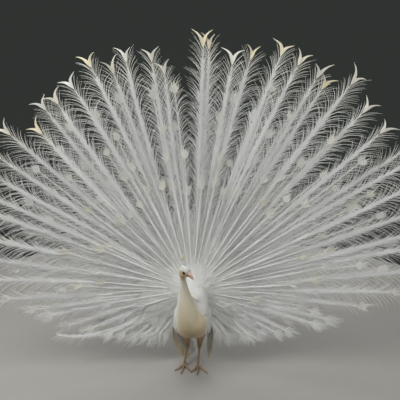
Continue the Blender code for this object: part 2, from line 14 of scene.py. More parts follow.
import bpy
import numpy as np
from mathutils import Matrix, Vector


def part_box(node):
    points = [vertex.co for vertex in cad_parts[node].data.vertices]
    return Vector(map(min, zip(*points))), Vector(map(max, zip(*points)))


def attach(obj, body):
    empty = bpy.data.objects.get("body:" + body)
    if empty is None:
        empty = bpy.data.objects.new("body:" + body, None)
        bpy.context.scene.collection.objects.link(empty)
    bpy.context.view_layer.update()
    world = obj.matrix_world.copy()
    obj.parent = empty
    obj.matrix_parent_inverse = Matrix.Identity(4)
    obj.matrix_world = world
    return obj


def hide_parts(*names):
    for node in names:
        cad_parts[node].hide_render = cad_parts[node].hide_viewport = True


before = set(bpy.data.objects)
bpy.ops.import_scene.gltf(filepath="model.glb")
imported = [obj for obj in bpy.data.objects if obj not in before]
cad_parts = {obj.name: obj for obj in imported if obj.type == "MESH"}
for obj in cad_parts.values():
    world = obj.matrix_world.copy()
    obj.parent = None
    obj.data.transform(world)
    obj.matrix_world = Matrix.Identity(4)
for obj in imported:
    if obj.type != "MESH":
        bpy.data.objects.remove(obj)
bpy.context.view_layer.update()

RUMP_END = 0.262  # y of the last body station in the bird's own frame
TRUNK_LOW, TRUNK_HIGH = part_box("trunk")
SHIFT = np.array(((TRUNK_LOW.x + TRUNK_HIGH.x) / 2, TRUNK_HIGH.y - RUMP_END, 0.0))
BAKE_PATCH = 0.003
EDGE_TURN = math.radians(40.0)  # faces that turn more than this meet in a crisp edge
BODY = "root"

Array = np.ndarray
Colour = tuple[float, float, float]
Place = tuple[float, float, float]
Span = tuple[float, float]
Stops = tuple[tuple[float, Colour], ...]
Mesh = bpy.types.Mesh
Material = bpy.types.Material
log = logging.getLogger("peacock")


class Side(Enum):
    """The bird's own two sides, as the sign of X."""

    LEFT = 1
    RIGHT = -1

    @property
    def word(self) -> str:
        """The side's name in lower case."""
        return self.name.lower()


def unit(vectors: Array) -> Array:
    """Scale vectors to length one: each is divided by its own length."""
    return vectors / np.maximum(np.linalg.norm(vectors, axis=-1, keepdims=True), 1e-12)


def ease(values: Array, low: float = 0.0, high: float = 1.0) -> Array:
    """Rise smoothly from 0 at low to 1 at high: three times the square less twice the cube."""
    share = np.clip((values - low) / (high - low), 0.0, 1.0)
    return share * share * (3.0 - 2.0 * share)


def mix(near: Any, far: Any, share: Any) -> Any:
    """Go from near to far in a straight line by a share."""
    return near + (far - near) * share


def bell(distance: Array, width: float) -> Array:
    """A smooth bump: exp of minus the squared distance over the squared width."""
    return np.exp(-((distance / width) ** 2))


def curve_through(table: Array, t: Array) -> Array:
    """Read a smooth curve through a table's rows.

    Between two it is a cubic, whose slope at a row is half the step between that row's neighbours.

    Args:
        table: Rows of numbers.
        t: Row numbers, whole or between rows.

    Returns:
        A row for each t.
    """
    last = len(table) - 1
    i = np.clip(np.floor(t).astype(int), 0, last - 1)
    u = (t - i)[:, None]
    full = np.vstack((2 * table[0] - table[1], table, 2 * table[-1] - table[-2]))
    before, near, far, after = full[i], full[i + 1], full[i + 2], full[i + 3]
    return 0.5 * (
        2 * near
        + (far - before) * u
        + (2 * before - 5 * near + 4 * far - after) * u**2
        + (3 * near - before - 3 * far + after) * u**3
    )


def turned(angle: float) -> Array:
    """The matrix that turns points about X by an angle in radians."""
    c, s = math.cos(angle), math.sin(angle)
    return np.array(((1.0, 0.0, 0.0), (0.0, c, -s), (0.0, s, c)))


def new_object(name: str, mesh: Mesh, material: Material | None = None) -> bpy.types.Object:
    """Put a mesh into the scene.

    Args:
        name: The object's name.
        mesh: Its mesh.
        material: Its finish, or None where another piece takes it up.

    Returns:
        The object, at the origin.
    """
    made = bpy.data.objects.new(name, mesh)
    bpy.context.scene.collection.objects.link(made)
    if material is not None:
        mesh.materials.clear()
        mesh.materials.append(material)
    return made


def mesh_of(name: str, points: Array, triangles: Array) -> Mesh:
    """Make a smooth-shaded mesh, shifted from the bird's own frame to the fixed one.

    Args:
        name: Its name.
        points: Vertex places.
        triangles: Vertex numbers, three to a row.

    Returns:
        The mesh.
    """
    mesh = bpy.data.meshes.new(name)
    mesh.vertices.add(len(points))
    mesh.vertices.foreach_set("co", np.ascontiguousarray(points + SHIFT, np.float32).ravel())
    mesh.loops.add(triangles.size)
    mesh.loops.foreach_set("vertex_index", np.ascontiguousarray(triangles, np.int32).ravel())
    mesh.polygons.add(len(triangles))
    mesh.polygons.foreach_set("loop_start", np.arange(0, triangles.size, 3, dtype=np.int32))
    mesh.update(calc_edges=True)
    mesh.shade_smooth()
    return mesh


def set_number(mesh: Mesh, name: str, values: Array) -> None:
    """Store one number a vertex under a name that the materials read."""
    layer = mesh.attributes.new(name, "FLOAT", "POINT")
    layer.data.foreach_set("value", np.ascontiguousarray(values, np.float32))


def set_map(mesh: Mesh, name: str, places: Array, corners: Array) -> None:
    """Store a UV map from one place a vertex, handed to each face corner by its vertex number."""
    layer = mesh.uv_layers.new(name=name)
    layer.data.foreach_set("uv", np.ascontiguousarray(places[corners.ravel()], np.float32).ravel())


def places_of(mesh: Mesh) -> Array:
    """Read a mesh's vertex places as rows, in the bird's own frame."""
    points = np.empty(len(mesh.vertices) * 3, np.float32)
    mesh.vertices.foreach_get("co", points)
    return points.reshape(-1, 3).astype(float) - SHIFT


def wall(rings: int, sides: int, around: bool = False) -> Array:
    """Faces between neighbouring rings, two to a cell.

    Args:
        rings: How many rings there are.
        sides: Points in each ring.
        around: Whether the last ring meets the first.

    Returns:
        Vertex numbers, ring after ring.
    """
    low = np.arange(rings if around else rings - 1)[:, None] * sides
    high = (low + sides) % (rings * sides)
    i = np.arange(sides)[None]
    j = (i + 1) % sides
    halves = (low + i, low + j, high + j), (low + i, high + j, high + i)
    return np.vstack([np.stack(half, -1).reshape(-1, 3) for half in halves])


def tube_triangles(rings: int, sides: int) -> Array:
    """Faces of rings in a row, fanned to a middle point at each end that is numbered after all the rings."""
    ring = np.arange(sides)
    following = (ring + 1) % sides
    start, top = rings * sides, (rings - 1) * sides
    cap_low = np.stack((np.full(sides, start), following, ring), -1)
    cap_high = np.stack((np.full(sides, start + 1), top + ring, top + following), -1)
    return np.vstack((wall(rings, sides), cap_low, cap_high))


def facing_out(points: Array, triangles: Array) -> Array:
    """Turn a closed mesh's faces outward: flip them where the sum of their triple products is negative."""
    a, b, c = (points[triangles[:, k]] for k in range(3))
    volume = np.einsum("ij,ij->i", a, np.cross(b, c)).sum()
    return triangles if volume > 0 else triangles[:, ::-1]


def closed_tube(name: str, rings: Array) -> Mesh:
    """Skin rings into one mesh, closed by a fan at each end.

    Args:
        name: The mesh's name.
        rings: Places as ring, point in ring, coordinate.

    Returns:
        The mesh.
    """
    count, sides = rings.shape[:2]
    points = np.vstack((rings.reshape(-1, 3), rings[0].mean(0), rings[-1].mean(0)))
    triangles = tube_triangles(count, sides)
    return mesh_of(name, points, facing_out(points, triangles))


def tube_over(name: str, at: Callable[[Array, Array], Array], lengths: Array, sides: int) -> Mesh:
    """Skin a surface into one closed mesh.

    Args:
        name: The mesh's name.
        at: Gives places for arrays of length numbers and angles.
        lengths: The rings' length numbers.
        sides: Points in each ring, evenly spread over a full turn.

    Returns:
        The mesh.
    """
    turn = np.arange(sides) * 2 * math.pi / sides
    points = at(np.repeat(lengths, sides), np.tile(turn, len(lengths)))
    return closed_tube(name, points.reshape(len(lengths), sides, 3))


def joined(name: str, base: Mesh, others: Iterable[Mesh]) -> Mesh:
    """Unite closed meshes into one with the exact Boolean.

    Args:
        name: Name of the result.
        base: The first mesh.
        others: What is added to it, one at a time.

    Returns:
        One mesh without inner walls.
    """
    holder = new_object(name + "_base", base)
    guests = [new_object(f"{name}_guest_{number}", mesh) for number, mesh in enumerate(others)]
    for guest in guests:
        step = holder.modifiers.new("union", "BOOLEAN")
        step.operation = "UNION"
        step.solver = "EXACT"
        step.object = guest
    graph = bpy.context.evaluated_depsgraph_get()
    result = bpy.data.meshes.new_from_object(holder.evaluated_get(graph))
    result.name = name
    for spent in (holder, *guests):
        bpy.data.objects.remove(spent)
    result.shade_smooth()
    return result


def tube_rings(path: Array, across: Array, above: Array, sides: int) -> Array:
    """Rings about a path: an angle's sine goes by the arrow across and its cosine by the one above."""
    angle = np.linspace(0, 2 * math.pi, sides, endpoint=False)[None, :, None]
    return path[:, None] + across[:, None] * np.sin(angle) + above[:, None] * np.cos(angle)


def crosswise(path: Array, hint: Array) -> tuple[Array, Array]:
    """Two arrows square to a path.

    Args:
        path: Points along the path.
        hint: The way that the second arrow should roughly point.

    Returns:
        The arrow across, and the arrow nearest the hint.
    """
    heading = unit(np.gradient(path, axis=0))
    across = unit(np.cross(heading, np.broadcast_to(hint, heading.shape)))
    return across, unit(np.cross(across, heading))


def paired(first: Any, second: Any) -> Array:
    """Numbers side by side as pairs, one of them repeated where the other is longer."""
    return np.stack(np.broadcast_arrays(first, second), -1)


@dataclass
class Plumage:
    """Collects vanes, which are narrow closed solids swept along paths, and turns them into one mesh."""

    corners: dict[int, Array] = field(default_factory=lambda: {
        3: np.array(((1.0, -0.5), (0.0, 1.0), (-1.0, -0.5))),
        4: np.array(((1.0, 0.0), (0.0, 1.0), (-1.0, 0.0), (0.0, -1.0))),
    })
    points: list[Array] = field(default_factory=list)
    triangles: list[Array] = field(default_factory=list)
    bake: list[Array] = field(default_factory=list)
    vane: list[Array] = field(default_factory=list)
    tone: list[Array] = field(default_factory=list)
    warm: list[Array] = field(default_factory=list)
    count: int = 0

    def add(self, path: Array, normal: Array, half_width: Any, half_thick: Any, tone: Any, warm: Any,
            place: Any, corners: int = 4) -> None:
        """Sweep a flat ring of a few corners along every path.

        Its first number runs across the vane, which is the normal crossed with the heading, and its second
        along the normal. What is given once is spread over all vanes or rows.

        Args:
            path: Middle lines, as vane, row, coordinate.
            normal: The way each face looks.
            half_width: Half widths.
            half_thick: Half thicknesses.
            tone: A number between 0 and 1 for each vane.
            warm: Places on the plumage scale.
            place: Each root's place on the unwrap.
            corners: 4 for a lens, 3 for a sliver.
        """
        number, rows = path.shape[:2]
        if number == 0:
            return
        shape, ring = (number, rows, corners), self.corners[corners]
        heading = unit(np.gradient(path, axis=1))
        across = unit(np.cross(np.broadcast_to(normal, heading.shape), heading))
        outward = np.cross(heading, across)
        half, deep = (np.broadcast_to(size, shape[:2])[..., None, None] for size in (half_width, half_thick))
        wide = half * ring[:, 0][:, None] * across[:, :, None, :]
        thick = deep * ring[:, 1][:, None] * outward[:, :, None, :]
        self.points.append((path[:, :, None, :] + wide + thick).reshape(-1, 3))
        fan = np.array([(0, k, k + 1) for k in range(1, corners - 1)])
        pattern = np.vstack((wall(rows, corners), fan[:, ::-1], fan + (rows - 1) * corners))
        offsets = self.count + np.arange(number)[:, None, None] * rows * corners
        self.triangles.append((pattern + offsets).reshape(-1, 3))
        self.count += number * rows * corners
        steps = np.linalg.norm(np.diff(path, axis=1), axis=-1)
        travel = np.hstack((np.zeros((number, 1)), np.cumsum(steps, axis=1)))[:, :, None]
        sideways = np.broadcast_to(ring[:, 0], shape)
        self.vane.append(paired(sideways, travel).reshape(-1, 2))
        patch = paired(sideways * 0.5, travel / travel[:, -1:] - 0.5) * BAKE_PATCH
        self.bake.append((np.broadcast_to(place, (number, 2))[:, None, None, :] + patch).reshape(-1, 2))
        self.tone.append(np.broadcast_to(np.reshape(tone, (-1, 1, 1)), shape).ravel())
        self.warm.append(np.broadcast_to(np.broadcast_to(warm, shape[:2])[..., None], shape).ravel())

    def build(self, name: str, slot: str, replaced: Iterable[str] = ()) -> None:
        """Make the piece.

        Args:
            name: Its name.
            slot: Not used.
            replaced: The nodes that it stands for.
        """
        triangles = np.vstack(self.triangles)
        mesh = mesh_of(name, np.vstack(self.points), triangles)
        mesh.set_sharp_from_angle(angle=EDGE_TURN)
        set_map(mesh, "OFBake", np.vstack(self.bake), triangles)
        set_map(mesh, "Vane", np.vstack(self.vane), triangles)
        set_number(mesh, "tone", np.concatenate(self.tone))
        set_number(mesh, "warm", np.concatenate(self.warm))
        settle(name, mesh, FEATHER, replaced)


def settle(name: str, mesh: Mesh, material: Material, replaced: Iterable[str] = ()
           ) -> None:
    """Make a piece, tell the frame what it rides on, its finish and what it stands for, and report it.

    Args:
        name: Its name.
        mesh: Its mesh.
        material: Its finish.
        replaced: The nodes that it stands for.
    """
    piece = new_object(name, mesh, material)
    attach(piece, BODY)
    nodes = list(replaced)
    if nodes:
        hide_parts(*nodes)
    log.info("%s: %d faces, stands for %s", piece.name, len(piece.data.polygons), nodes or "nothing")


class Value:
    """A shader socket that takes part in sums, differences and products."""

    def __init__(self, bench: "Bench", socket: bpy.types.NodeSocket) -> None:
        """Keep the socket and the bench that it is on."""
        self.bench = bench
        self.socket = socket

    def _math(self, operation: str, *terms: Any) -> "Value":
        """Add a Math node of these sockets or numbers, in the node's order."""
        return self.bench.value("Math", {"operation": operation}, dict(enumerate(terms)))

    def __add__(self, other: Any) -> "Value":
        """This plus the other."""
        return self._math("ADD", self, other)

    __radd__ = __add__

    def __sub__(self, other: Any) -> "Value":
        """This less the other."""
        return self._math("SUBTRACT", self, other)

    def __rsub__(self, other: Any) -> "Value":
        """The other less this."""
        return self._math("SUBTRACT", other, self)

    def __mul__(self, other: Any) -> "Value":
        """This times the other."""
        return self._math("MULTIPLY", self, other)

    __rmul__ = __mul__

    def sine(self) -> "Value":
        """The sine of this, in radians."""
        return self._math("SINE", self)

    def size(self) -> "Value":
        """This without its sign."""
        return self._math("ABSOLUTE", self)

    def held(self) -> "Value":
        """This kept between 0 and 1."""
        return self.bench.value("Clamp", {}, {"Value": self})


class Bench:
    """The node tree of one material."""

    def __init__(self, name: str) -> None:
        """Start a material with an empty tree."""
        self.material = bpy.data.materials.new(name)
        self.material.use_nodes = True
        self.tree = self.material.node_tree
        self.tree.nodes.clear()

    def node(self, kind: str, settings: dict[str, Any], inputs: dict[Any, Any]) -> bpy.types.Node:
        """Make any node: its settings come first, then the values or links of its sockets.

        Args:
            kind: Its type, less the prefix that all share.
            settings: Its settings.
            inputs: Sockets with a number, a colour or a Value.

        Returns:
            The node.
        """
        made = self.tree.nodes.new("ShaderNode" + kind)
        for key, setting in settings.items():
            setattr(made, key, setting)
        for key, given in inputs.items():
            if isinstance(given, Value):
                self.tree.links.new(given.socket, made.inputs[key])
            else:
                made.inputs[key].default_value = given
        return made

    def value(self, kind: str, settings: dict[str, Any], inputs: dict[Any, Any], output: Any = 0) -> Value:
        """Make a node as above and wrap one of its results, told by name or number."""
        return Value(self, self.node(kind, settings, inputs).outputs[output])

    def number(self, name: str) -> Value:
        """Read a number that the mesh stores at its vertices."""
        return self.value("Attribute", {"attribute_name": name}, {}, "Fac")

    def place(self) -> Value:
        """The point's place in the object's own frame."""
        return self.value("TexCoord", {}, {}, "Object")

    def noise(self, place: Value, scale: float, detail: float = 3.0) -> Value:
        """Cloudy noise between 0 and 1, with so many clouds to a metre and so many finer layers."""
        return self.value("TexNoise", {}, {"Vector": place, "Scale": scale, "Detail": detail}, 0)

    def ramp(self, at: Value, stops: Stops) -> Value:
        """Read a colour from a scale.

        Args:
            at: The place on the scale.
            stops: Places with colours, in rising order.

        Returns:
            The colour.
        """
        made = self.node("ValToRGB", {}, {"Fac": at})
        elements = made.color_ramp.elements
        while len(elements) < len(stops):
            elements.new(0.5)
        for element, (place, colour) in zip(elements, stops):
            element.position = place
            element.color = (*colour, 1.0)
        return Value(self, made.outputs["Color"])

    def blend(self, share: Any, first: Any, second: Any, kind: str = "MIX") -> Value:
        """Blend two colours by a share of the second."""
        opaque = [(*c, 1.0) if isinstance(c, tuple) else c for c in (first, second)]
        return self.value("Mix", {"data_type": "RGBA", "blend_type": kind},
                          {0: share, 6: opaque[0], 7: opaque[1]}, 2)

    def shaded(self, colour: Value, light: Value) -> Value:
        """Make a colour darker or lighter by a number about 1."""
        grey = self.value("CombineColor", {}, {0: light, 1: light, 2: light}, 0)
        return self.blend(1.0, colour, grey, "MULTIPLY")

    def bump(self, height: Value, depth: float, strength: float = 1.0) -> Value:
        """Turn a height between 0 and 1 into a normal; the depth is the metres for a height of 1."""
        return self.value("Bump", {}, {"Height": height, "Distance": depth, "Strength": strength}, 0)

    def finish(self, inputs: dict[str, Any]) -> Material:
        """Close the tree with the surface shader.

        Args:
            inputs: The shader's sockets.

        Returns:
            The material.
        """
        shader = self.node("BsdfPrincipled", {}, inputs)
        output = self.node("OutputMaterial", {}, {})
        self.tree.links.new(shader.outputs[0], output.inputs[0])
        return self.material


PLUMAGE_SCALE = (
    (0.00, (0.800, 0.810, 0.815)),
    (0.22, (0.810, 0.790, 0.690)),
    (0.45, (0.760, 0.685, 0.485)),
    (0.70, (0.640, 0.465, 0.265)),
    (1.00, (0.360, 0.190, 0.065)),
)


@dataclass(frozen=True)
class FeatherFinish:
    """White plumage that warms to cream, tan and rust, with fine barbs across every vane."""

    name: str = "feather"
    barbs_per_metre: float = 620.0
    slant: float = 3.2
    groove: float = 0.00035
    roughness: float = 0.72
    spread: float = 0.30
    sheen: float = 0.25

    def material(self) -> Material:
        """Colour from the plumage scale, lighter or darker by each vane's tone, with painted shade in the
        grooves between its barbs.

        Returns:
            The material.
        """
        bench = Bench(self.name)
        parts = bench.node("SeparateXYZ", {},
                           {0: bench.value("UVMap", {"uv_map": "Vane"}, {}, 0)})
        across, along = Value(bench, parts.outputs[0]), Value(bench, parts.outputs[1])
        cloud = bench.noise(bench.place(), 60.0)
        warm = bench.number("warm") + (cloud - 0.5) * 0.08
        tone = bench.number("tone")
        turns = along * self.barbs_per_metre + across.size() * self.slant
        barbs = (turns * (2 * math.pi)).sine() * 0.5 + 0.5
        # Painted shade: the colour darkens in the grooves where the barb wave is low.
        light = 1.0 - self.spread * 0.5 + tone * self.spread - (1.0 - barbs) * 0.10
        colour = bench.shaded(bench.ramp(warm, PLUMAGE_SCALE), light)
        return bench.finish({
            "Base Color": colour,
            "Roughness": self.roughness,
            "Sheen Weight": self.sheen,
            "Sheen Roughness": 0.5,
            "Specular IOR Level": 0.25,
            "Normal": bench.bump(barbs, self.groove, 0.6),
        })


@dataclass(frozen=True)
class SkinFinish:
    """Bare skin under the feathers and round the eye, on the same scale of colours as the plumage."""

    name: str = "skin"
    pebbles: float = 900.0
    depth: float = 0.0005

    def material(self) -> Material:
        """Pebbled skin, pinker in its folds.

        Returns:
            The material.
        """
        bench = Bench(self.name)
        place = bench.place()
        pebble = bench.value("TexVoronoi", {}, {"Vector": place, "Scale": self.pebbles}, "Distance")
        cloud = bench.noise(place, 140.0, 4.0)
        warm = bench.number("warm") + (cloud - 0.5) * 0.12
        colour = bench.blend(bench.number("flesh"), bench.ramp(warm, PLUMAGE_SCALE), (0.24, 0.175, 0.145))
        light = 0.90 + cloud * 0.16 - pebble * 0.10
        return bench.finish({
            "Base Color": bench.shaded(colour, light),
            "Roughness": 0.62 - pebble * 0.1,
            "Subsurface Weight": 0.06,
            "Subsurface Radius": (0.006, 0.003, 0.002),
            "Normal": bench.bump(pebble * 0.6 + cloud * 0.4, self.depth, 0.7),
        })


@dataclass(frozen=True)
class ScaleFinish:
    """Horny scales of the legs: ochre and grey-pink, darker between the scales."""

    name: str = "leg_scale"
    light: Colour = (0.42, 0.295, 0.180)
    dark: Colour = (0.20, 0.125, 0.070)

    def material(self) -> Material:
        """Colour by the height of the scale relief, with small pits.

        Returns:
            The material.
        """
        bench = Bench(self.name)
        place = bench.place()
        cloud = bench.noise(place, 85.0, 5.0)
        cells = bench.value("TexVoronoi", {}, {"Vector": place, "Scale": 620.0}, "Distance")
        relief = bench.number("relief")
        share = (relief * 0.75 + cloud * 0.45 - 0.08).held()
        colour = bench.blend(share, self.dark, self.light)
        return bench.finish({
            "Base Color": bench.shaded(colour, 0.92 + cells * 0.16),
            "Roughness": 0.62 - relief * 0.18,
            "Coat Weight": 0.08,
            "Normal": bench.bump(cells * 0.4 + cloud * 0.6, 0.0006, 0.6),
        })


@dataclass(frozen=True)
class HornFinish:
    """Bill, claws and spurs: smooth horn that goes from a root colour to a tip colour."""

    name: str
    root: Colour
    middle: Colour
    tip: Colour
    roughness: float = 0.38

    def material(self) -> Material:
        """Colour along the horn, with fine growth lines, darkened where the bill marks it: painted shade in the
        nostril slit, and the whole lower bill darker by a fixed share.

        Returns:
            The material.
        """
        bench = Bench(self.name)
        place = bench.place()
        along = bench.number("along")
        cloud = bench.noise(place, 160.0, 4.0)
        lines = (along * 90.0 + cloud * 5.0).sine() * 0.5 + 0.5
        stops = ((0.0, self.root), (0.5, self.middle), (1.0, self.tip))
        colour = bench.ramp(along + (cloud - 0.5) * 0.2, stops)
        # Painted shade in the nostril slit; the lower bill is darker all over by a fixed share.
        horn_darkening = bench.number("horn_darkening")
        return bench.finish({
            "Base Color": bench.shaded(colour, (0.9 + cloud * 0.14 + lines * 0.04) * (1.0 - horn_darkening * 0.8)),
            "Roughness": self.roughness + cloud * 0.12,
            "Normal": bench.bump(lines * 0.5 + cloud * 0.5, 0.00025, 0.5),
        })


@dataclass(frozen=True)
class EyeFinish:
    """A dark brown iris round a black pupil, under a wet surface."""

    name: str = "eye"
    pupil: float = 0.45
    iris: float = 0.92

    def material(self) -> Material:
        """Colour by the distance from the eye's front pole.

        Returns:
            The material.
        """
        bench = Bench(self.name)
        ring = bench.number("ring")
        threads = bench.noise(bench.place(), 1400.0, 2.0)
        at = ring + (threads - 0.5) * 0.05
        stops = (
            (0.0, (0.004, 0.004, 0.005)),
            (self.pupil - 0.03, (0.004, 0.004, 0.005)),
            (self.pupil + 0.03, (0.020, 0.010, 0.007)),
            (self.iris - 0.05, (0.034, 0.017, 0.011)),
            (self.iris, (0.008, 0.006, 0.005)),
            (1.0, (0.10, 0.07, 0.06)),
        )
        return bench.finish({
            "Base Color": bench.ramp(at, stops),
            "Roughness": 0.16,
            "Specular IOR Level": 0.3,
            "Coat Weight": 0.25,
            "Coat Roughness": 0.05,
        })


@dataclass(frozen=True)
class StageFinish:
    """A plain matt surface."""

    name: str
    colour: Colour

    def material(self) -> Material:
        """One colour with the faintest grain.

        Returns:
            The material.
        """
        bench = Bench(self.name)
        grain = bench.noise(bench.place(), 35.0, 4.0)
        return bench.finish({
            "Base Color": bench.shaded(bench.blend(0.0, self.colour, self.colour), 0.98 + grain * 0.04),
            "Roughness": 0.9,
        })


FEATHER = FeatherFinish().material()
SKIN = SkinFinish().material()
SCALE = ScaleFinish().material()
BILL_HORN = HornFinish("bill_horn", (0.68, 0.48, 0.37), (0.54, 0.33, 0.27), (0.36, 0.22, 0.18)).material()
CLAW_HORN = HornFinish("claw_horn", (0.34, 0.26, 0.20), (0.20, 0.16, 0.13), (0.11, 0.09, 0.08)).material()
EYE = EyeFinish().material()


@dataclass(frozen=True)
class HeadFrame:
    """The head's own axes: forward, up and left from the point midway between the eyes."""

    centre: Place = (-0.0293, -0.133, 0.650)
    turn: float = math.radians(48.0)
    nod: float = math.radians(20.0)

    def axes(self) -> Array:
        """Forward, up and left as rows, after the head's turn and nod."""
        s, c = math.sin(self.turn), math.cos(self.turn)
        sn, cn = math.sin(self.nod), math.cos(self.nod)
        return np.array(((s * cn, -c * cn, -sn), (s * sn, -c * sn, cn), (c, s, 0.0)))

    def out(self, local: Array) -> Array:
        """Place points given as forward, up and left."""
        return np.asarray(self.centre) + np.asarray(local) @ self.axes()

    def into(self, points: Array) -> Array:
        """Read points as forward, up and left."""
        return (points - np.asarray(self.centre)) @ self.axes().T

    def row(self, station: tuple) -> Array:
        """Back point, belly point and half-width arrow of one station of the head or the bill."""
        back, belly, half = station
        return np.concatenate((self.out((*back, 0.0)), self.out((*belly, 0.0)), half * self.axes()[2]))


HEAD = HeadFrame()


@dataclass
class Hide:
    """A surface that feathers grow on, read by a length number and an angle round it.

    Attributes:
        at: Gives places for arrays of length numbers and angles.
        low: The least length number.
        high: The greatest.
    """

    at: Callable[[Array, Array], Array]
    low: float
    high: float

    def _step(self) -> float:
        """A small step of the length number."""
        return 1e-3 * (self.high - self.low)

    def inside(self, a: Array) -> Array:
        """Keep length numbers a little inside both ends."""
        return np.clip(a, self.low + 2 * self._step(), self.high - 2 * self._step())

    def speed(self, a: Array, b: Array) -> Array:
        """Metres to one length number, from two places a small step apart."""
        e, a = self._step(), self.inside(a)
        return np.linalg.norm(self.at(a + e, b) - self.at(a - e, b), axis=-1) / (2 * e)

    def outward(self, a: Array, b: Array) -> Array:
        """The way the surface looks: square to its two slopes, away from the point midway to the far side."""
        e, turn, a = self._step(), 0.03, self.inside(a)
        along = self.at(a + e, b) - self.at(a - e, b)
        around = self.at(a, b + turn) - self.at(a, b - turn)
        normal = unit(np.cross(around, along))
        here = self.at(a, b)
        middle = (here + self.at(a, b + math.pi)) / 2
        return np.where(((here - middle) * normal).sum(-1, keepdims=True) < 0, -normal, normal)

    def girth(self, a: float) -> float:
        """Length of the ring at one length number."""
        b = np.linspace(0, 2 * math.pi, 49)
        ring = self.at(np.full(49, a), b)
        return float(np.linalg.norm(np.diff(ring, axis=0), axis=1).sum())

    def courses(self, exposed: Callable[[float], float]) -> list[float]:
        """Length numbers of the rows of feathers, each as far from the last as a feather shows.

        Args:
            exposed: Metres that a feather shows at a length number.

        Returns:
            The rows from the high end down.
        """
        grid = np.linspace(self.low, self.high, 300)
        angles = np.arange(8) * math.pi / 4
        lines = np.array([self.at(grid, np.full(300, angle)) for angle in angles])
        steps = np.linalg.norm(np.diff(lines, axis=1), axis=-1).mean(0)
        travel = np.concatenate(((0.0,), np.cumsum(steps)))
        found, here = [], travel[-1]
        while here > 0:
            a = float(np.interp(here, travel, grid))
            found.append(a)
            here -= exposed(a)
        return found


@dataclass(frozen=True)
class BodyForm:
    """Trunk, neck and head as one surface: rounded rings between stations.

    A station gives back point, belly point, half width, lean to the left and turn in degrees.
    """

    stations: tuple = (
        ((0.262, 0.415), (0.262, 0.385), 0.012, 0.000, 0),
        ((0.250, 0.440), (0.250, 0.350), 0.034, 0.000, 0),
        ((0.205, 0.462), (0.215, 0.310), 0.058, 0.000, 0),
        ((0.135, 0.476), (0.150, 0.275), 0.078, 0.000, 0),
        ((0.060, 0.480), (0.070, 0.261), 0.086, 0.000, 0),
        ((-0.010, 0.474), (-0.020, 0.257), 0.087, 0.000, 0),
        ((-0.052, 0.466), (-0.095, 0.270), 0.086, 0.000, 0),
        ((-0.072, 0.466), (-0.150, 0.298), 0.083, -0.001, 0),
        ((-0.080, 0.474), (-0.182, 0.338), 0.070, -0.006, 0),
        ((-0.083, 0.488), (-0.190, 0.385), 0.051, -0.020, 0),
        ((-0.085, 0.506), (-0.183, 0.440), 0.0385, -0.0285, 3),
        ((-0.086, 0.530), (-0.168, 0.490), 0.0285, -0.0345, 10),
        ((-0.087, 0.557), (-0.151, 0.534), 0.0225, -0.0400, 20),
        ((-0.088, 0.585), (-0.138, 0.573), 0.0175, -0.0440, 29),
        ((-0.087, 0.610), (-0.129, 0.603), 0.0168, -0.0470, 38),
    )
    head_stations: tuple = (
        ((-0.0385, -0.0160), (-0.0060, -0.0340), 0.0195),
        ((-0.0400, 0.0020), (0.0020, -0.0285), 0.0205),
        ((-0.0340, 0.0165), (0.0070, -0.0255), 0.0212),
        ((-0.0190, 0.0265), (0.0115, -0.0225), 0.0215),
        ((0.0000, 0.0270), (0.0160, -0.0195), 0.0200),
        ((0.0140, 0.0205), (0.0195, -0.0165), 0.0155),
        ((0.0222, 0.0120), (0.0222, -0.0135), 0.0105),
    )
    squareness: float = 2.9
    neck_station: float = 11.5
    head_station: float = 15.0
    last: float = 21.0
    coat_at: tuple = (0.0, 2.0, 7.0, 9.0, 12.0, 14.5, 16.0, 19.0, 20.4, 21.0)
    coat_depth: tuple = (0.004, 0.010, 0.012, 0.009, 0.005, 0.003, 0.0022, 0.0016, 0.0008, 0.0003)

    def table(self) -> Array:
        """Every station as back, belly and half-width arrow."""
        rows = []
        for back, belly, half, lean, turn in self.stations:
            angle = math.radians(turn)
            rows.append((lean, *back, lean, *belly, half * math.cos(angle), half * math.sin(angle), 0.0))
        return np.vstack((np.array(rows), [HEAD.row(station) for station in self.head_stations]))

    def girdle(self, z: Array) -> tuple[Array, Array]:
        """Lean and half width of breast and neck at a height."""
        rows = [((back[1] + belly[1]) / 2, lean, half) for back, belly, half, lean, _ in self.stations[8:]]
        at, lean, half = np.array(rows).T
        return np.interp(z, at, lean), np.interp(z, at, half)

    def depth(self, t: Array) -> Array:
        """How far the skin lies under the coat."""
        return np.interp(t, self.coat_at, self.coat_depth)

    def surface(self, t: Array, angle: Array, depth: Any = 0.0) -> Array:
        """A ring about the middle of back and belly, whose half sizes are smaller by the depth.

        The angle's sine goes across and its cosine up, each raised to two over the squareness, signs kept.

        Args:
            t: Station numbers.
            angle: Angles from the back to the left.
            depth: How far below the coat's outside.

        Returns:
            Places.
        """
        row = curve_through(self.table(), np.clip(t, 0.0, self.last))
        back, belly, aside = row[:, 0:3], row[:, 3:6], row[:, 6:9]
        middle, upright = (back + belly) / 2, (back - belly) / 2
        under = np.broadcast_to(depth, t.shape)[:, None]
        upright = upright * (1 - under / np.linalg.norm(upright, axis=1, keepdims=True))
        aside = aside * (1 - under / np.linalg.norm(aside, axis=1, keepdims=True))
        fade = np.clip((self.neck_station - t) / 3, 0.0, 1.0)
        power = (2 / (2 + (self.squareness - 2) * fade))[:, None]
        across, above = np.sin(angle)[:, None], np.cos(angle)[:, None]
        across = np.sign(across) * np.abs(across) ** power
        above = np.sign(above) * np.abs(above) ** power
        return middle + above * upright + across * aside


FORM = BodyForm()


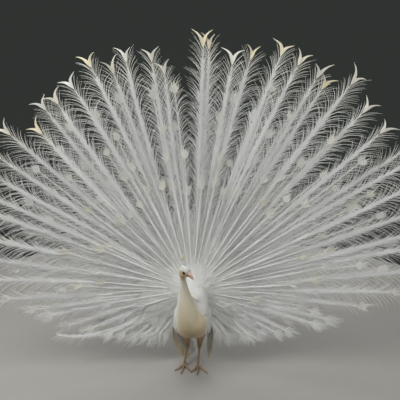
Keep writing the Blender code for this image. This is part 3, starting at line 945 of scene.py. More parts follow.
@dataclass(frozen=True)
class Ball:
    """An ellipsoid whose poles lie on Y, tilted about X."""

    centre: Place
    radii: Place
    tilt: float = 0.0

    def at(self, a: Array, b: Array, depth: float = 0.0) -> Array:
        """Points by angle from the front pole and angle round it, with each radius drawn in by a depth."""
        x, y, z = (r - depth for r in self.radii)
        local = np.stack((x * np.sin(a) * np.sin(b), -y * np.cos(a), z * np.sin(a) * np.cos(b)), -1)
        return np.asarray(self.centre) + local @ turned(self.tilt).T

    def hide(self, low: float, high: float) -> Hide:
        """The part of the surface that feathers grow on, numbered from back to front."""
        return Hide(lambda a, b: self.at(-a, b), -high, -low)

    def mesh(self, name: str, depth: float) -> Mesh:
        """The closed ellipsoid, drawn in by a depth."""
        return tube_over(name, partial(self.at, depth=depth), np.linspace(0.03, math.pi - 0.03, 24), 40)


@dataclass(frozen=True)
class LegForm:
    """Joints, toes and girths of one leg."""

    side: Side
    hip: Place
    ankle: Place
    foot: Place
    toes: dict[str, Span]
    thigh_steps: tuple = (0.0, 0.25, 0.55, 0.80, 0.94, 1.0)
    thigh_radii: tuple = (0.037, 0.035, 0.0245, 0.0155, 0.0100, 0.0100)

    def toe_way(self, tip: Span) -> Array:
        """The level way from foot to a toe's tip."""
        return unit(np.array((tip[0] - self.foot[0], tip[1] - self.foot[1], 0.0)))

    def thigh(self, a: Array, b: Array, depth: float = 0.0) -> Array:
        """The thigh as a tapering tube.

        Args:
            a: Share of the way up from the ankle.
            b: Angle round it.
            depth: How far under the coat.

        Returns:
            Places.
        """
        share = 1.0 - a
        end = np.asarray(self.ankle)
        path = np.asarray(self.hip) + np.outer(share, end - np.asarray(self.hip))
        radius = (np.interp(share, self.thigh_steps, self.thigh_radii) - depth * (0.25 + 0.75 * a))[:, None]
        heading = unit(end - np.asarray(self.hip))
        across = unit(np.cross(heading, (0.0, 1.0, 0.0)))
        above = np.cross(across, heading)
        return path + radius * (np.cos(b)[:, None] * above + np.sin(b)[:, None] * across)


LEGS = (
    LegForm(Side.LEFT, (0.050, 0.035, 0.310), (0.037, 0.072, 0.120), (0.028, 0.056, 0.020),
            {"inner": (-0.0145, -0.009), "middle": (0.0255, -0.031), "outer": (0.085, -0.0135),
             "rear": (0.022, 0.092)}),
    LegForm(Side.RIGHT, (-0.050, 0.035, 0.310), (-0.031, 0.077, 0.120), (-0.050, 0.065, 0.020),
            {"inner": (-0.012, 0.008), "middle": (-0.066, -0.022), "outer": (-0.105, 0.010),
             "rear": (-0.043, 0.100)}),
)
VENT = Ball((0.0, 0.185, 0.290), (0.070, 0.075, 0.085))
PADS = {side: Ball((side.value * 0.080, 0.005, 0.325), (0.023, 0.115, 0.068), math.radians(-10.0))
        for side in Side}


@dataclass(frozen=True)
class Markings:
    """Where the plumage warms from white: the same rule for skin and coat."""

    white: float = 0.05
    heights: tuple = (0.25, 0.36, 0.48, 0.56)
    # The cream is partly the plumage's own tint and partly painted warm light bounced from the ground, warmer
    # lower down.
    cream: tuple = (0.68, 0.61, 0.42, 0.33)
    flank: Span = (0.70, 1.0)  # shares of the half width between which cream gives way to white: a painted rim light down both sides of neck and breast
    face: float = 0.60
    crown: float = 0.06
    thigh: float = 0.74
    ankle: float = 1.0

    def warmth(self, points: Array) -> Array:
        """Warm on breast, neck and face, warmest at the ankle, white on the crown and the back. The cream of
        breast and neck is partly its own tint and partly painted warm light from the ground; its white sides
        are a painted rim light.

        Args:
            points: Places.

        Returns:
            Their places on the plumage scale.
        """
        x, y, z = points.T
        front = ease(-y, 0.02, 0.12)
        neck = ease(z, 0.47, 0.53) * ease(-y, 0.04, 0.09)
        lean, half = FORM.girdle(z)
        # Painted rim light: cream fades to white towards both sides of neck and breast.
        middle = 1 - 0.85 * ease(np.abs(x - lean) / half, *self.flank)
        cream = np.interp(z, self.heights, self.cream)
        warm = mix(self.white, cream, np.maximum(front * ease(z, 0.24, 0.30), neck) * middle)
        local = HEAD.into(points)
        on_head = ease(local[:, 0], -0.055, -0.025) * ease(z, 0.600, 0.622)
        warm = mix(warm, self.face, on_head)
        warm = mix(warm, self.crown, ease(local[:, 1] + 0.30 * np.abs(local[:, 0]), 0.006, 0.016) * on_head)
        leg = (z < 0.262) * ease(-y, -0.125, -0.110)
        return mix(warm, mix(self.thigh, self.ankle, ease(-z, -0.235, -0.135)), leg)


MARKS = Markings()


@dataclass
class EyeForm:
    """The eyeballs, and the lids that hold them."""

    radius: float = 0.0089
    aside: float = 0.0143
    forward_look: float = 0.24
    opening: Span = (0.0075, 0.0067)
    cornea: float = 0.0006
    around: int = 56
    lid_profile: tuple = (
        (0.0000, 0.0000), (0.0001, 0.0004), (0.0005, 0.0006), (0.0011, 0.0004), (0.0016, 0.0000),
        (0.0021, 0.0001), (0.0028, -0.0003), (0.0034, -0.0008), (0.0044, -0.0017), (0.0052, -0.0030),
        (0.0030, -0.0040), (0.0004, -0.0022),
    )

    def basis(self, side: Side) -> tuple[Array, Array]:
        """Centre of an eye, and its gaze, forward and upward arrows as rows."""
        forward, _, left = HEAD.axes()
        gaze = unit(left * side.value + forward * self.forward_look)
        ahead = unit(forward - gaze * (forward @ gaze))
        up = np.cross(gaze, ahead) * side.value
        return HEAD.out((0.0, 0.0, side.value * self.aside)), np.array((gaze, ahead, up))

    def lid(self, side: Side) -> Mesh:
        """A closed ring: a rolled edge that hugs the ball, two folds, and a skirt that sinks into the head.

        Its profile, distances out from the edge with heights over the ball, is carried round the oval opening.
        """
        centre, (gaze, ahead, up) = self.basis(side)
        phi = np.arange(self.around) * 2 * math.pi / self.around
        out, height = np.array(self.lid_profile).T
        edge = np.stack((np.cos(phi) * self.opening[0], np.sin(phi) * self.opening[1]), -1)
        reach = np.linalg.norm(edge, axis=1)
        ball = np.sqrt(self.radius**2 - reach**2)
        flat = edge[:, None, :] * (1 + out[None, :] / reach[:, None])[..., None]
        level = ball[:, None] + height[None, :]
        points = (centre + flat[..., :1] * ahead + flat[..., 1:] * up + level[..., None] * gaze).reshape(-1, 3)
        return mesh_of("lid_" + side.word, points, facing_out(points, wall(self.around, len(out), True)))

    def build(self) -> None:
        """Both eyeballs: spheres with a bulge at the cornea, with rings that grow from the front pole."""
        for side in Side:
            centre, (gaze, ahead, up) = self.basis(side)
            polar = np.linspace(0.02, math.pi - 0.02, 40)
            phi = np.arange(48) * 2 * math.pi / 48
            radius = (self.radius + self.cornea * bell(polar, 0.55))[:, None, None]
            ring = np.cos(phi)[:, None] * ahead + np.sin(phi)[:, None] * up
            c, s = np.cos(polar)[:, None, None], np.sin(polar)[:, None, None]
            rings = centre + radius * (c * gaze + s * ring)
            mesh = closed_tube("eyeball_" + side.word, rings)
            share = np.clip(self.radius * np.sin(np.minimum(polar, math.pi / 2)) / self.opening[0], 0.0, 1.0)
            set_number(mesh, "ring", np.concatenate((np.repeat(share, 48), (0.0, 1.0))))
            settle("eyeball_" + side.word, mesh, EYE, ["eye_" + side.word])


@dataclass
class Skin:
    """One skin under the whole coat: trunk, neck, head, lids, thighs, vent and wing pads."""

    eyes: EyeForm
    sides: int = 160
    body_rings: int = 130
    head_rings: int = 170
    vent_depth: float = 0.012
    thigh_depth: float = 0.006
    pad_depth: float = 0.006

    def relief(self, local: Array) -> Array:
        """Height of the face's forms over the plain head.

        Each is a bell about its own place: brow, cheek and ear stand out; socket, lore and the crease back
        from the bill's corner lie in.

        Args:
            local: Points in the head's frame.

        Returns:
            Heights.
        """
        f, u, side = local[:, 0], local[:, 1], np.abs(local[:, 2])
        outer = ease(side, 0.004, 0.012)

        def form(at_f: float, at_u: float, wide: float, high: float, amount: float) -> Array:
            """One bell, wide along and high up."""
            return amount * np.exp(-(((f - at_f) / wide) ** 2) - ((u - at_u) / high) ** 2) * outer

        total = form(0.0022, 0.0, 0.0088, 0.0074, -0.0026)
        total += form(0.001, 0.0108, 0.0080, 0.0026, 0.0011)
        total += form(-0.004, -0.0125, 0.0090, 0.0042, 0.0010)
        total += form(-0.0205, -0.0040, 0.0055, 0.0060, 0.0009)
        total += form(0.0135, 0.0015, 0.0035, 0.0032, -0.0010)
        total += form(0.0140, -0.0048, 0.0085, 0.0011, -0.0010)
        wrinkle = np.sin(u * 3600 + np.sin(f * 900) * 1.2) * 0.00012
        return total + wrinkle * np.exp(-((f / 0.013) ** 2) - ((u + 0.002) / 0.013) ** 2) * outer

    def _body_at(self, t: Array, angle: Array) -> Array:
        """Trunk, neck and head drawn in by the coat's depth, with the face's relief."""
        points = FORM.surface(t, angle, FORM.depth(t))
        lift = self.relief(HEAD.into(points)) * ease(t, 15.5, 16.5)
        return points + Hide(FORM.surface, 0.0, FORM.last).outward(t, angle) * lift[:, None]

    def body_mesh(self) -> Mesh:
        """The same as one closed loft."""
        t = np.concatenate((np.linspace(0.02, FORM.head_station, self.body_rings, endpoint=False),
                            np.linspace(FORM.head_station, FORM.last, self.head_rings)))
        return tube_over("body_skin", self._body_at, t, self.sides)

    def build(self) -> None:
        """Unite the lengths, then mark every point by where it is."""
        parts = [tube_over("thigh_skin_" + leg.side.word, partial(leg.thigh, depth=self.thigh_depth),
                           np.linspace(0.0, 1.0, 30), 36) for leg in LEGS]
        parts += [self.eyes.lid(side) for side in Side]
        parts += [PADS[side].mesh("pad_skin_" + side.word, self.pad_depth) for side in Side]
        parts.append(VENT.mesh("vent_skin", self.vent_depth))
        mesh = joined("skin", self.body_mesh(), parts)
        points = places_of(mesh)
        set_number(mesh, "warm", MARKS.warmth(points))
        near = np.min([np.linalg.norm(points - self.eyes.basis(side)[0], axis=1) for side in Side], axis=0)
        set_number(mesh, "flesh", 0.9 * (1 - ease(near, 0.0094, 0.0122)))
        nodes = ["trunk", "neck_lower", "neck_upper", "head", "vent"]
        nodes += [f"{part}_{side.word}" for part in ("thigh", "wing") for side in Side]
        settle("skin", mesh, SKIN, nodes)


@dataclass(frozen=True)
class CoatPlan:
    """Feather sizes along a surface, in metres, read between the stops of the length number."""

    at: tuple
    length: tuple
    width: tuple
    depth: tuple
    shown: float = 0.42  # share of a feather's length that the next row leaves open
    packed: float = 0.62  # share of its width from one to the next
    proud: float = 0.0010
    sway: float = 0.10
    thick: float = 0.00030
    rows: tuple = (0.0, 0.25, 0.55, 0.85, 1.0)
    outline: tuple = (0.40, 0.85, 1.00, 0.74, 0.20)
    sunk: tuple = (0.90, 0.34, 0.03, 0.0, 0.0)
    raised: tuple = (0.0, 0.1, 0.5, 1.0, 1.3)
    # Painted shade: these low tones make the body's feathers darker than the train's, for the shade that the
    # body stands in; within the span they differ at random.
    tone: Span = (-0.20, 0.02)

    def read(self, name: str, a: Any) -> Any:
        """One size at a length number."""
        return np.interp(a, self.at, getattr(self, name))


@dataclass
class Coat:
    """Lays feathers over surfaces by rows from the head end, so that each covers the next one's roots."""

    seed: int

    def __post_init__(self) -> None:
        """Start the fixed run of random numbers."""
        self.rng = np.random.default_rng(self.seed)

    def lay(self, plumage: Plumage, hide: Hide, plan: CoatPlan, warmth: Callable[[Array], Array],
            keep: Callable[[Array], Array] | None = None, last_row: float = -math.inf) -> None:
        """Cover a surface with feathers, whose middle lines follow it to the low end as they rise.

        Args:
            plumage: Where they go.
            hide: The surface.
            plan: Their sizes.
            warmth: The markings.
            keep: Says which places carry one; None means all.
            last_row: The least length number of a row.
        """
        u = np.array(plan.rows)
        for number, a0 in enumerate(hide.courses(lambda a: plan.shown * float(plan.read("length", a)))):
            if a0 < last_row:
                break
            width = float(plan.read("width", a0))
            count = max(5, int(hide.girth(a0) / (width * plan.packed)))
            slot = np.arange(count) + 0.5 * (number % 2) + self.rng.uniform(-0.25, 0.25, count)
            b = slot * 2 * math.pi / count
            a = a0 + self.rng.uniform(-0.2, 0.2, count) * plan.shown * plan.read("length", a0) / hide.speed(
                np.full(count, a0), b)
            a = hide.inside(a)
            length = plan.read("length", a) * self.rng.uniform(0.85, 1.12, count)
            sway = self.rng.normal(0.0, plan.sway, count) * width / max(hide.girth(a0), 1e-3) * 2 * math.pi
            tone = self.rng.uniform(*plan.tone, count)
            loose = self.rng.uniform(0.6, 1.4, count)
            if keep is not None:
                chosen = keep(hide.at(a, b))
                a, b, length, sway, tone, loose = (v[chosen] for v in (a, b, length, sway, tone, loose))
            if not len(a):
                continue
            reach = np.clip(a[:, None] - (length / hide.speed(a, b))[:, None] * u, hide.low, hide.high)
            turn = b[:, None] + sway[:, None] * u**2
            normal = hide.outward(reach.ravel(), turn.ravel()).reshape(-1, len(u), 3)
            height = plan.proud * np.array(plan.raised) * loose[:, None]
            height = height - plan.read("depth", reach) * plan.sunk
            path = hide.at(reach.ravel(), turn.ravel()).reshape(-1, len(u), 3) + normal * height[..., None]
            place = paired(np.mod(b / (2 * math.pi), 1.0), (a - hide.low) / (hide.high - hide.low))
            good = (reach[:, -1] > hide.low + 1e-6) | (reach[:, 1] > hide.low + 1e-6)
            plumage.add(path[good], normal[good], 0.5 * width * np.array(plan.outline),
                        plan.thick * np.linspace(1.4, 0.7, len(u)), tone[good], warmth(path[:, 0])[good, None],
                        place[good])


@dataclass
class BodyCoat:
    """Small scale-like feathers of head and neck, and the larger ones of breast, back and belly."""

    eyes: EyeForm
    bare: float = 0.0112
    swept: float = 0.0048
    # The head's feathers take lighter tones than those of neck and trunk, so they carry less painted shade.
    head: CoatPlan = CoatPlan((15.0, 17.0, 19.5, 21.0), (0.0085, 0.0066, 0.0050, 0.0030),
                              (0.0042, 0.0032, 0.0026, 0.0018), (0.0026, 0.0020, 0.0014, 0.0004),
                              proud=0.0003, thick=0.00016, rows=(0.0, 0.35, 0.75, 1.0),
                              outline=(0.5, 1.0, 0.85, 0.22), sunk=(0.9, 0.3, 0.0, 0.0),
                              raised=(0.0, 0.4, 1.0, 1.3), tone=(0.05, 0.25))
    neck: CoatPlan = CoatPlan((8.0, 10.0, 12.0, 15.0), (0.027, 0.020, 0.0135, 0.0088),
                              (0.0135, 0.0098, 0.0064, 0.0044), (0.0100, 0.0075, 0.0050, 0.0028),
                              proud=0.0003, thick=0.00014, shown=0.32, packed=0.55)
    trunk: CoatPlan = CoatPlan((0.0, 2.0, 8.0), (0.030, 0.040, 0.030), (0.016, 0.021, 0.0155),
                               (0.004, 0.009, 0.0105), proud=0.0004, thick=0.00016, shown=0.33)

    def _feathered(self, points: Array) -> Array:
        """Where the face carries feathers: where neither root nor tip comes near an eye."""
        near = [np.linalg.norm(points - back - self.eyes.basis(side)[0], axis=1)
                for side in Side for back in (0.0, HEAD.axes()[0] * self.swept)]
        return np.min(near, axis=0) > self.bare

    def build(self) -> None:
        """Three lengths, each its own piece."""
        coat = Coat(11)
        for name, low, high, plan, slot, keep in (
            ("head_feathers", 15.0, 20.9, self.head, "face_feather", self._feathered),
            ("neck_feathers", 8.0, 15.0, self.neck, "breast_feather", None),
            ("trunk_feathers", 0.05, 8.0, self.trunk, "breast_feather", None),
        ):
            plumage = Plumage()
            hide = Hide(FORM.surface, max(0.02, low - 1.2), high)
            coat.lay(plumage, hide, plan, MARKS.warmth, keep, low)
            plumage.build(name, slot)


@dataclass
class ThighCoat:
    """Soft feathers that hang down the thighs, and the down under the tail."""

    thigh: CoatPlan = CoatPlan((0.0, 0.3, 1.0), (0.013, 0.020, 0.032), (0.0060, 0.0090, 0.0160),
                               (0.0015, 0.0035, 0.0055), proud=0.0012, sway=0.25)
    down: CoatPlan = CoatPlan((-math.pi, 0.0), (0.052, 0.044), (0.013, 0.013), (0.011, 0.011), proud=0.0050,
                              sway=0.5, shown=0.34, outline=(0.5, 0.9, 0.8, 0.55, 0.12))

    def build(self) -> None:
        """Thighs and vent."""
        coat = Coat(23)
        for leg in LEGS:
            plumage = Plumage()
            coat.lay(plumage, Hide(leg.thigh, 0.0, 0.95), self.thigh, MARKS.warmth)
            plumage.build("thigh_feathers_" + leg.side.word, "thigh_feather")
        plumage = Plumage()
        coat.lay(plumage, VENT.hide(0.5, 3.12), self.down, lambda points: np.full(len(points), 0.06))
        plumage.build("vent_down", "white_feather")


@dataclass
class Bill:
    """Upper and lower bill, with nostrils and a hooked tip."""

    upper: tuple = (
        ((0.0200, 0.0118), (0.0200, -0.0034), 0.0092),
        ((0.0226, 0.0108), (0.0226, -0.0038), 0.0087),
        ((0.0350, 0.0076), (0.0350, -0.0047), 0.0068),
        ((0.0470, 0.0006), (0.0470, -0.0062), 0.0045),
        ((0.0555, -0.0080), (0.0550, -0.0098), 0.0022),
        ((0.0598, -0.0138), (0.0590, -0.0144), 0.0007),
    )
    lower: tuple = (
        ((0.0200, -0.0044), (0.0200, -0.0118), 0.0078),
        ((0.0226, -0.0044), (0.0226, -0.0116), 0.0075),
        ((0.0350, -0.0052), (0.0350, -0.0115), 0.0060),
        ((0.0460, -0.0067), (0.0460, -0.0108), 0.0040),
        ((0.0525, -0.0088), (0.0525, -0.0103), 0.0015),
    )
    sides: int = 96
    rings: int = 100

    def _nostril(self, local: Array) -> tuple[Array, Array]:
        """The height of the nostril and of the lid over it, and how deep in its slit a point is, which darkens
        it as painted shade.
        """
        f, u, side = local[:, 0], local[:, 1], ease(np.abs(local[:, 2]), 0.002, 0.004)
        drop = (u - 0.0022 + (f - 0.0310) * 0.4) / 0.0012
        slit = np.exp(-(((f - 0.0310) / 0.0034) ** 2) - drop**2) * side
        lid = np.exp(-(((f - 0.0295) / 0.0045) ** 2) - ((u - 0.0050) / 0.0017) ** 2) * side
        return 0.0008 * lid - 0.0016 * slit, slit

    def _half(self, stations: tuple, name: str, replaced: str, nostrils: bool) -> None:
        """One half of the bill: ellipses between stations, closed at both ends.

        Args:
            stations: Its sections.
            name: The piece's name.
            replaced: The node that it stands for.
            nostrils: Whether it has them.
        """
        table = np.array([HEAD.row(station) for station in stations])
        angle = np.tile(np.arange(self.sides) * 2 * math.pi / self.sides, self.rings)
        row = curve_through(table, np.repeat(np.linspace(0, len(table) - 1, self.rings), self.sides))
        middle, upright, aside = (row[:, 0:3] + row[:, 3:6]) / 2, (row[:, 0:3] - row[:, 3:6]) / 2, row[:, 6:9]
        across, above = np.sin(angle)[:, None], np.cos(angle)[:, None]
        points = middle + above * upright + across * aside
        height, horn_darkening = self._nostril(HEAD.into(points))
        if nostrils:
            points = points + unit(points - middle) * height[:, None]
        mesh = closed_tube(name, points.reshape(self.rings, self.sides, 3))
        # Painted shade in the upper bill's nostril slit; the lower bill is darker all over by a fixed share.
        set_number(mesh, "horn_darkening", np.append(horn_darkening if nostrils else 0.35 + 0 * horn_darkening, (0.0, 0.0)))
        share = np.repeat(np.linspace(0, 1, self.rings), self.sides)
        set_number(mesh, "along", np.concatenate((share, (0.0, 1.0))))
        settle(name, mesh, BILL_HORN, [replaced])

    def build(self) -> None:
        """Both halves."""
        self._half(self.upper, "upper_bill", "bill_upper", True)
        self._half(self.lower, "lower_bill", "bill_lower", False)


@dataclass
class Crest:
    """Bare shafts on the crown, each with a small fan at its tip."""

    shafts: int = 26
    root: Span = (-0.008, 0.0205)
    lean: Span = (25.0, 47.0)
    length: float = 0.058
    fan: int = 13
    fan_length: float = 0.014
    cream: float = 0.36

    def build(self) -> None:
        """Shafts leave the crown together and spread back; the little vanes of a tip spread from its shaft."""
        rng = np.random.default_rng(5)
        forward, up, left = HEAD.axes()
        plumage = Plumage()
        number = self.shafts
        lean = np.radians(np.linspace(*self.lean, number) + rng.normal(0, 1.2, number))
        splay = np.radians(rng.normal(0, 5.0, number))
        reach = self.length * rng.uniform(0.86, 1.0, number) - self.fan_length * 0.6
        way = np.outer(-np.sin(lean), forward) + np.outer(np.cos(lean), up) + np.outer(np.tan(splay), left)
        start = HEAD.out(np.stack((self.root[0] + rng.uniform(-0.006, 0.004, number),
                                   np.full(number, self.root[1] - 0.004),
                                   rng.uniform(-0.003, 0.003, number)), -1))
        u = np.linspace(0, 1, 6)
        bend = np.outer(reach * 0.05, u**2)[..., None] * -forward
        path = start[:, None] + (reach[:, None] * u)[..., None] * way[:, None] + bend
        tone = rng.uniform(0, 1, number)
        place = paired(0.48 + splay, 0.93 + 0.05 * np.linspace(0, 1, number))
        plumage.add(path, left, 0.00045, 0.00035, tone, 0.05, place, 3)
        spread = np.radians(np.linspace(-34, 34, self.fan))
        v = np.array((0.0, 0.35, 0.75, 1.0))
        for angle in spread:
            side_way = unit(way * math.cos(angle) + np.cross(left, way) * math.sin(angle))
            long = self.fan_length * math.cos(angle) * rng.uniform(0.8, 1.15, number)
            tip = path[:, -1, None] + (long[:, None] * (v - 0.25))[..., None] * side_way[:, None]
            width = 0.0011 * np.array((0.35, 0.9, 1.0, 0.15))
            plumage.add(tip, left, width, 0.4 * width, tone, self.cream, place, 3)
        plumage.build("crest_feathers", "white_feather", ["crest"])


@dataclass
class Wings:
    """Coverts over the flank, and the long flight feathers that droop from it."""

    slots: tuple = (0.0, 0.25, 0.5, 0.75, 1.0)
    roots: tuple = ((0.094, -0.015, 0.310), (0.094, 0.000, 0.313), (0.093, 0.020, 0.317), (0.092, 0.040, 0.323),
                    (0.090, 0.060, 0.330))
    bends: dict[Side, tuple] = field(default_factory=lambda: {
        Side.LEFT: ((0.128, 0.035, 0.160), (0.118, 0.065, 0.178), (0.112, 0.090, 0.198), (0.106, 0.110, 0.218),
                    (0.100, 0.125, 0.240)),
        Side.RIGHT: ((0.128, 0.060, 0.120), (0.110, 0.090, 0.150), (0.104, 0.105, 0.185), (0.102, 0.115, 0.212),
                     (0.100, 0.125, 0.240)),
    })
    tips: dict[Side, tuple] = field(default_factory=lambda: {
        Side.LEFT: ((0.084, 0.088, 0.014), (0.080, 0.145, 0.055), (0.082, 0.185, 0.100), (0.084, 0.210, 0.145),
                    (0.085, 0.222, 0.180)),
        Side.RIGHT: ((0.022, 0.125, 0.006), (-0.016, 0.160, 0.032), (0.000, 0.195, 0.085),
                     (0.045, 0.215, 0.140), (0.082, 0.222, 0.180)),
    })
    blades: int = 20
    half_width: float = 0.0165
    cream: float = 0.46
    edge: float = 0.14  # share of the wing, from its front, that is cream
    fade: Span = (-0.33, -0.24)
    coverts: CoatPlan = CoatPlan((-math.pi, 0.0), (0.050, 0.026), (0.024, 0.015), (0.006, 0.006), proud=0.0016,
                                 packed=0.55)

    def point(self, side: Side, slot: Array, t: Array) -> Array:
        """A place on a hanging feather: the bent line from root to tip, pulled towards its bend.

        Args:
            side: Which wing.
            slot: Share of the wing from its front.
            t: Share of the length.

        Returns:
            Places.
        """
        def read(table: tuple) -> Array:
            """A row of the table at the slot."""
            columns = np.array(table).T
            return np.stack([np.interp(slot, self.slots, column) for column in columns], -1)

        root, bend, tip = read(self.roots), read(self.bends[side]), read(self.tips[side])
        t = t[..., None]
        line = (1 - t) ** 2 * root + 2 * t * (1 - t) * bend + t**2 * tip
        return line * np.array((side.value, 1.0, 1.0))

    def warmth(self, points: Array) -> Array:
        """White above and cream below: a smooth step over height."""
        return mix(0.05, self.cream, ease(-points[..., 2], *self.fade))

    def _layer(self, plumage: Plumage, side: Side, count: int, spans: Span, half: float,
               over: float, rng: np.random.Generator) -> None:
        """One layer of long blades.

        Args:
            plumage: Where they go.
            side: Which wing.
            count: How many.
            spans: Shares of the line where they start and end.
            half: Half width.
            over: How far outside the wing's sheet.
            rng: Random numbers.
        """
        u = np.linspace(0, 1, 12)
        slot = (np.arange(count) + 0.5) / count + rng.normal(0, 0.006, count)
        k = np.repeat(slot[:, None], len(u), axis=1)
        end = spans[1] * (1 - rng.uniform(0.0, 0.05, count))
        t = spans[0] + u[None, :] * (end[:, None] - spans[0])
        path = self.point(side, k, t)
        across = self.point(side, k + 0.01, t) - self.point(side, k - 0.01, t)
        normal = unit(np.cross(across, np.gradient(path, axis=1)))
        outer = np.where(normal[..., :1] * side.value < 0, -normal, normal)
        path = path + outer * (over - 0.0011 * np.arange(count)[:, None, None] / 4)
        outline = np.interp(u, (0.0, 0.12, 0.5, 0.88, 0.96, 1.0), (0.35, 0.75, 1.0, 0.86, 0.5, 0.10))
        # Painted light: the blades take only the lightest tones, so the hanging wing shaded by the body still
        # reads bright white.
        tone = rng.uniform(0.6, 1.0, count)
        place = paired(0.02 + 0.9 * (np.arange(count) + 0.5) / count, 0.05 + over * 8)
        warm = np.where(k < self.edge, self.warmth(path), 0.05)
        plumage.add(path, outer, half * outline, 0.0006 * np.linspace(1.6, 0.6, 12), tone, warm, place)
        thin = 0.0011 * np.linspace(1.0, 0.3, 12)
        plumage.add(path + outer * 0.0005, outer, thin, thin, tone, warm + 0.06, place + (0.0, 0.004), 3)

    def build(self) -> None:
        """Both wings: flight feathers, two rows of long coverts over their roots, and small coverts above."""
        for side in Side:
            rng = np.random.default_rng(41 + side.value)
            plumage = Plumage()
            self._layer(plumage, side, self.blades, (0.03, 1.0), self.half_width, 0.0, rng)
            self._layer(plumage, side, 17, (0.02, 0.46), 0.0150, 0.0035, rng)
            self._layer(plumage, side, 19, (0.01, 0.30), 0.0125, 0.0065, rng)
            plumage.build("wing_feathers_" + side.word, "white_feather", ["flight_" + side.word])
            plumage = Plumage()
            Coat(57 + side.value).lay(plumage, PADS[side].hide(0.25, 2.95), self.coverts, self.warmth)
            plumage.build("wing_coverts_" + side.word, "white_feather")


@dataclass
class Tail:
    """Stiff feathers that prop the train from behind."""

    centre: Place = (0.0, 0.200, 0.440)
    blades: int = 20
    angles: Span = (6.0, 174.0)
    root: float = 0.030
    reach: float = 0.470
    lean: float = 0.15
    half_width: float = 0.026

    def build(self) -> None:
        """A flat fan; each blade lies a little behind the one nearer the middle."""
        rng = np.random.default_rng(61)
        u = np.linspace(0, 1, 12)
        angle = np.radians(np.linspace(*self.angles, self.blades))
        reach = self.reach * (1 - 0.06 * np.abs(np.cos(angle))) * rng.uniform(0.97, 1.0, self.blades)
        radius = self.root + u[None, :] * (reach[:, None] - self.root)
        rise = radius * np.sin(angle)[:, None]
        behind = 0.0012 * np.abs(np.arange(self.blades) - (self.blades - 1) / 2)[:, None]
        x = radius * np.cos(angle)[:, None]
        path = np.stack((x, self.lean * rise + behind, rise), -1) + np.asarray(self.centre)
        normal = unit(np.array((0.0, 1.0, -self.lean)))
        outline = np.interp(u, (0.0, 0.15, 0.6, 0.90, 0.97, 1.0), (0.2, 0.5, 1.0, 0.95, 0.60, 0.12))
        tone = rng.uniform(0, 1, self.blades)
        place = paired(0.05 + 0.9 * np.arange(self.blades) / self.blades, 0.4)
        plumage = Plumage()
        plumage.add(path, normal, self.half_width * outline, 0.0006, tone, 0.06, place)
        thin = np.linspace(1.0, 0.35, 12)
        plumage.add(path + normal * 0.0006, normal, 0.0016 * thin, 0.0014 * thin, tone, 0.14,
                    place + (0.0, 0.01), 3)
        plumage.build("tail_feathers", "white_feather", ["tail"])


class Tip(Enum):
    """How a train feather ends."""

    FISHTAIL = "fishtail"
    EYE_SPOT = "eye spot"


@dataclass(frozen=True)
class Tier:
    """One length of train feathers, from the rim inward."""

    count: int  # feathers evenly spread over the whole fan
    reach: float  # share of the fan's own reach
    spread: float  # how far that share varies
    stand: Span  # how far it lies in front of the fan, at its root and at its tip
    start: float  # where the barbs begin along the shaft
    core: float  # half width of the dense band along the shaft
    barb: float  # longest barb
    tone: Span  # darkest and lightest feather, at random between them; the shorter tiers are set darker as painted shade among the longest feathers
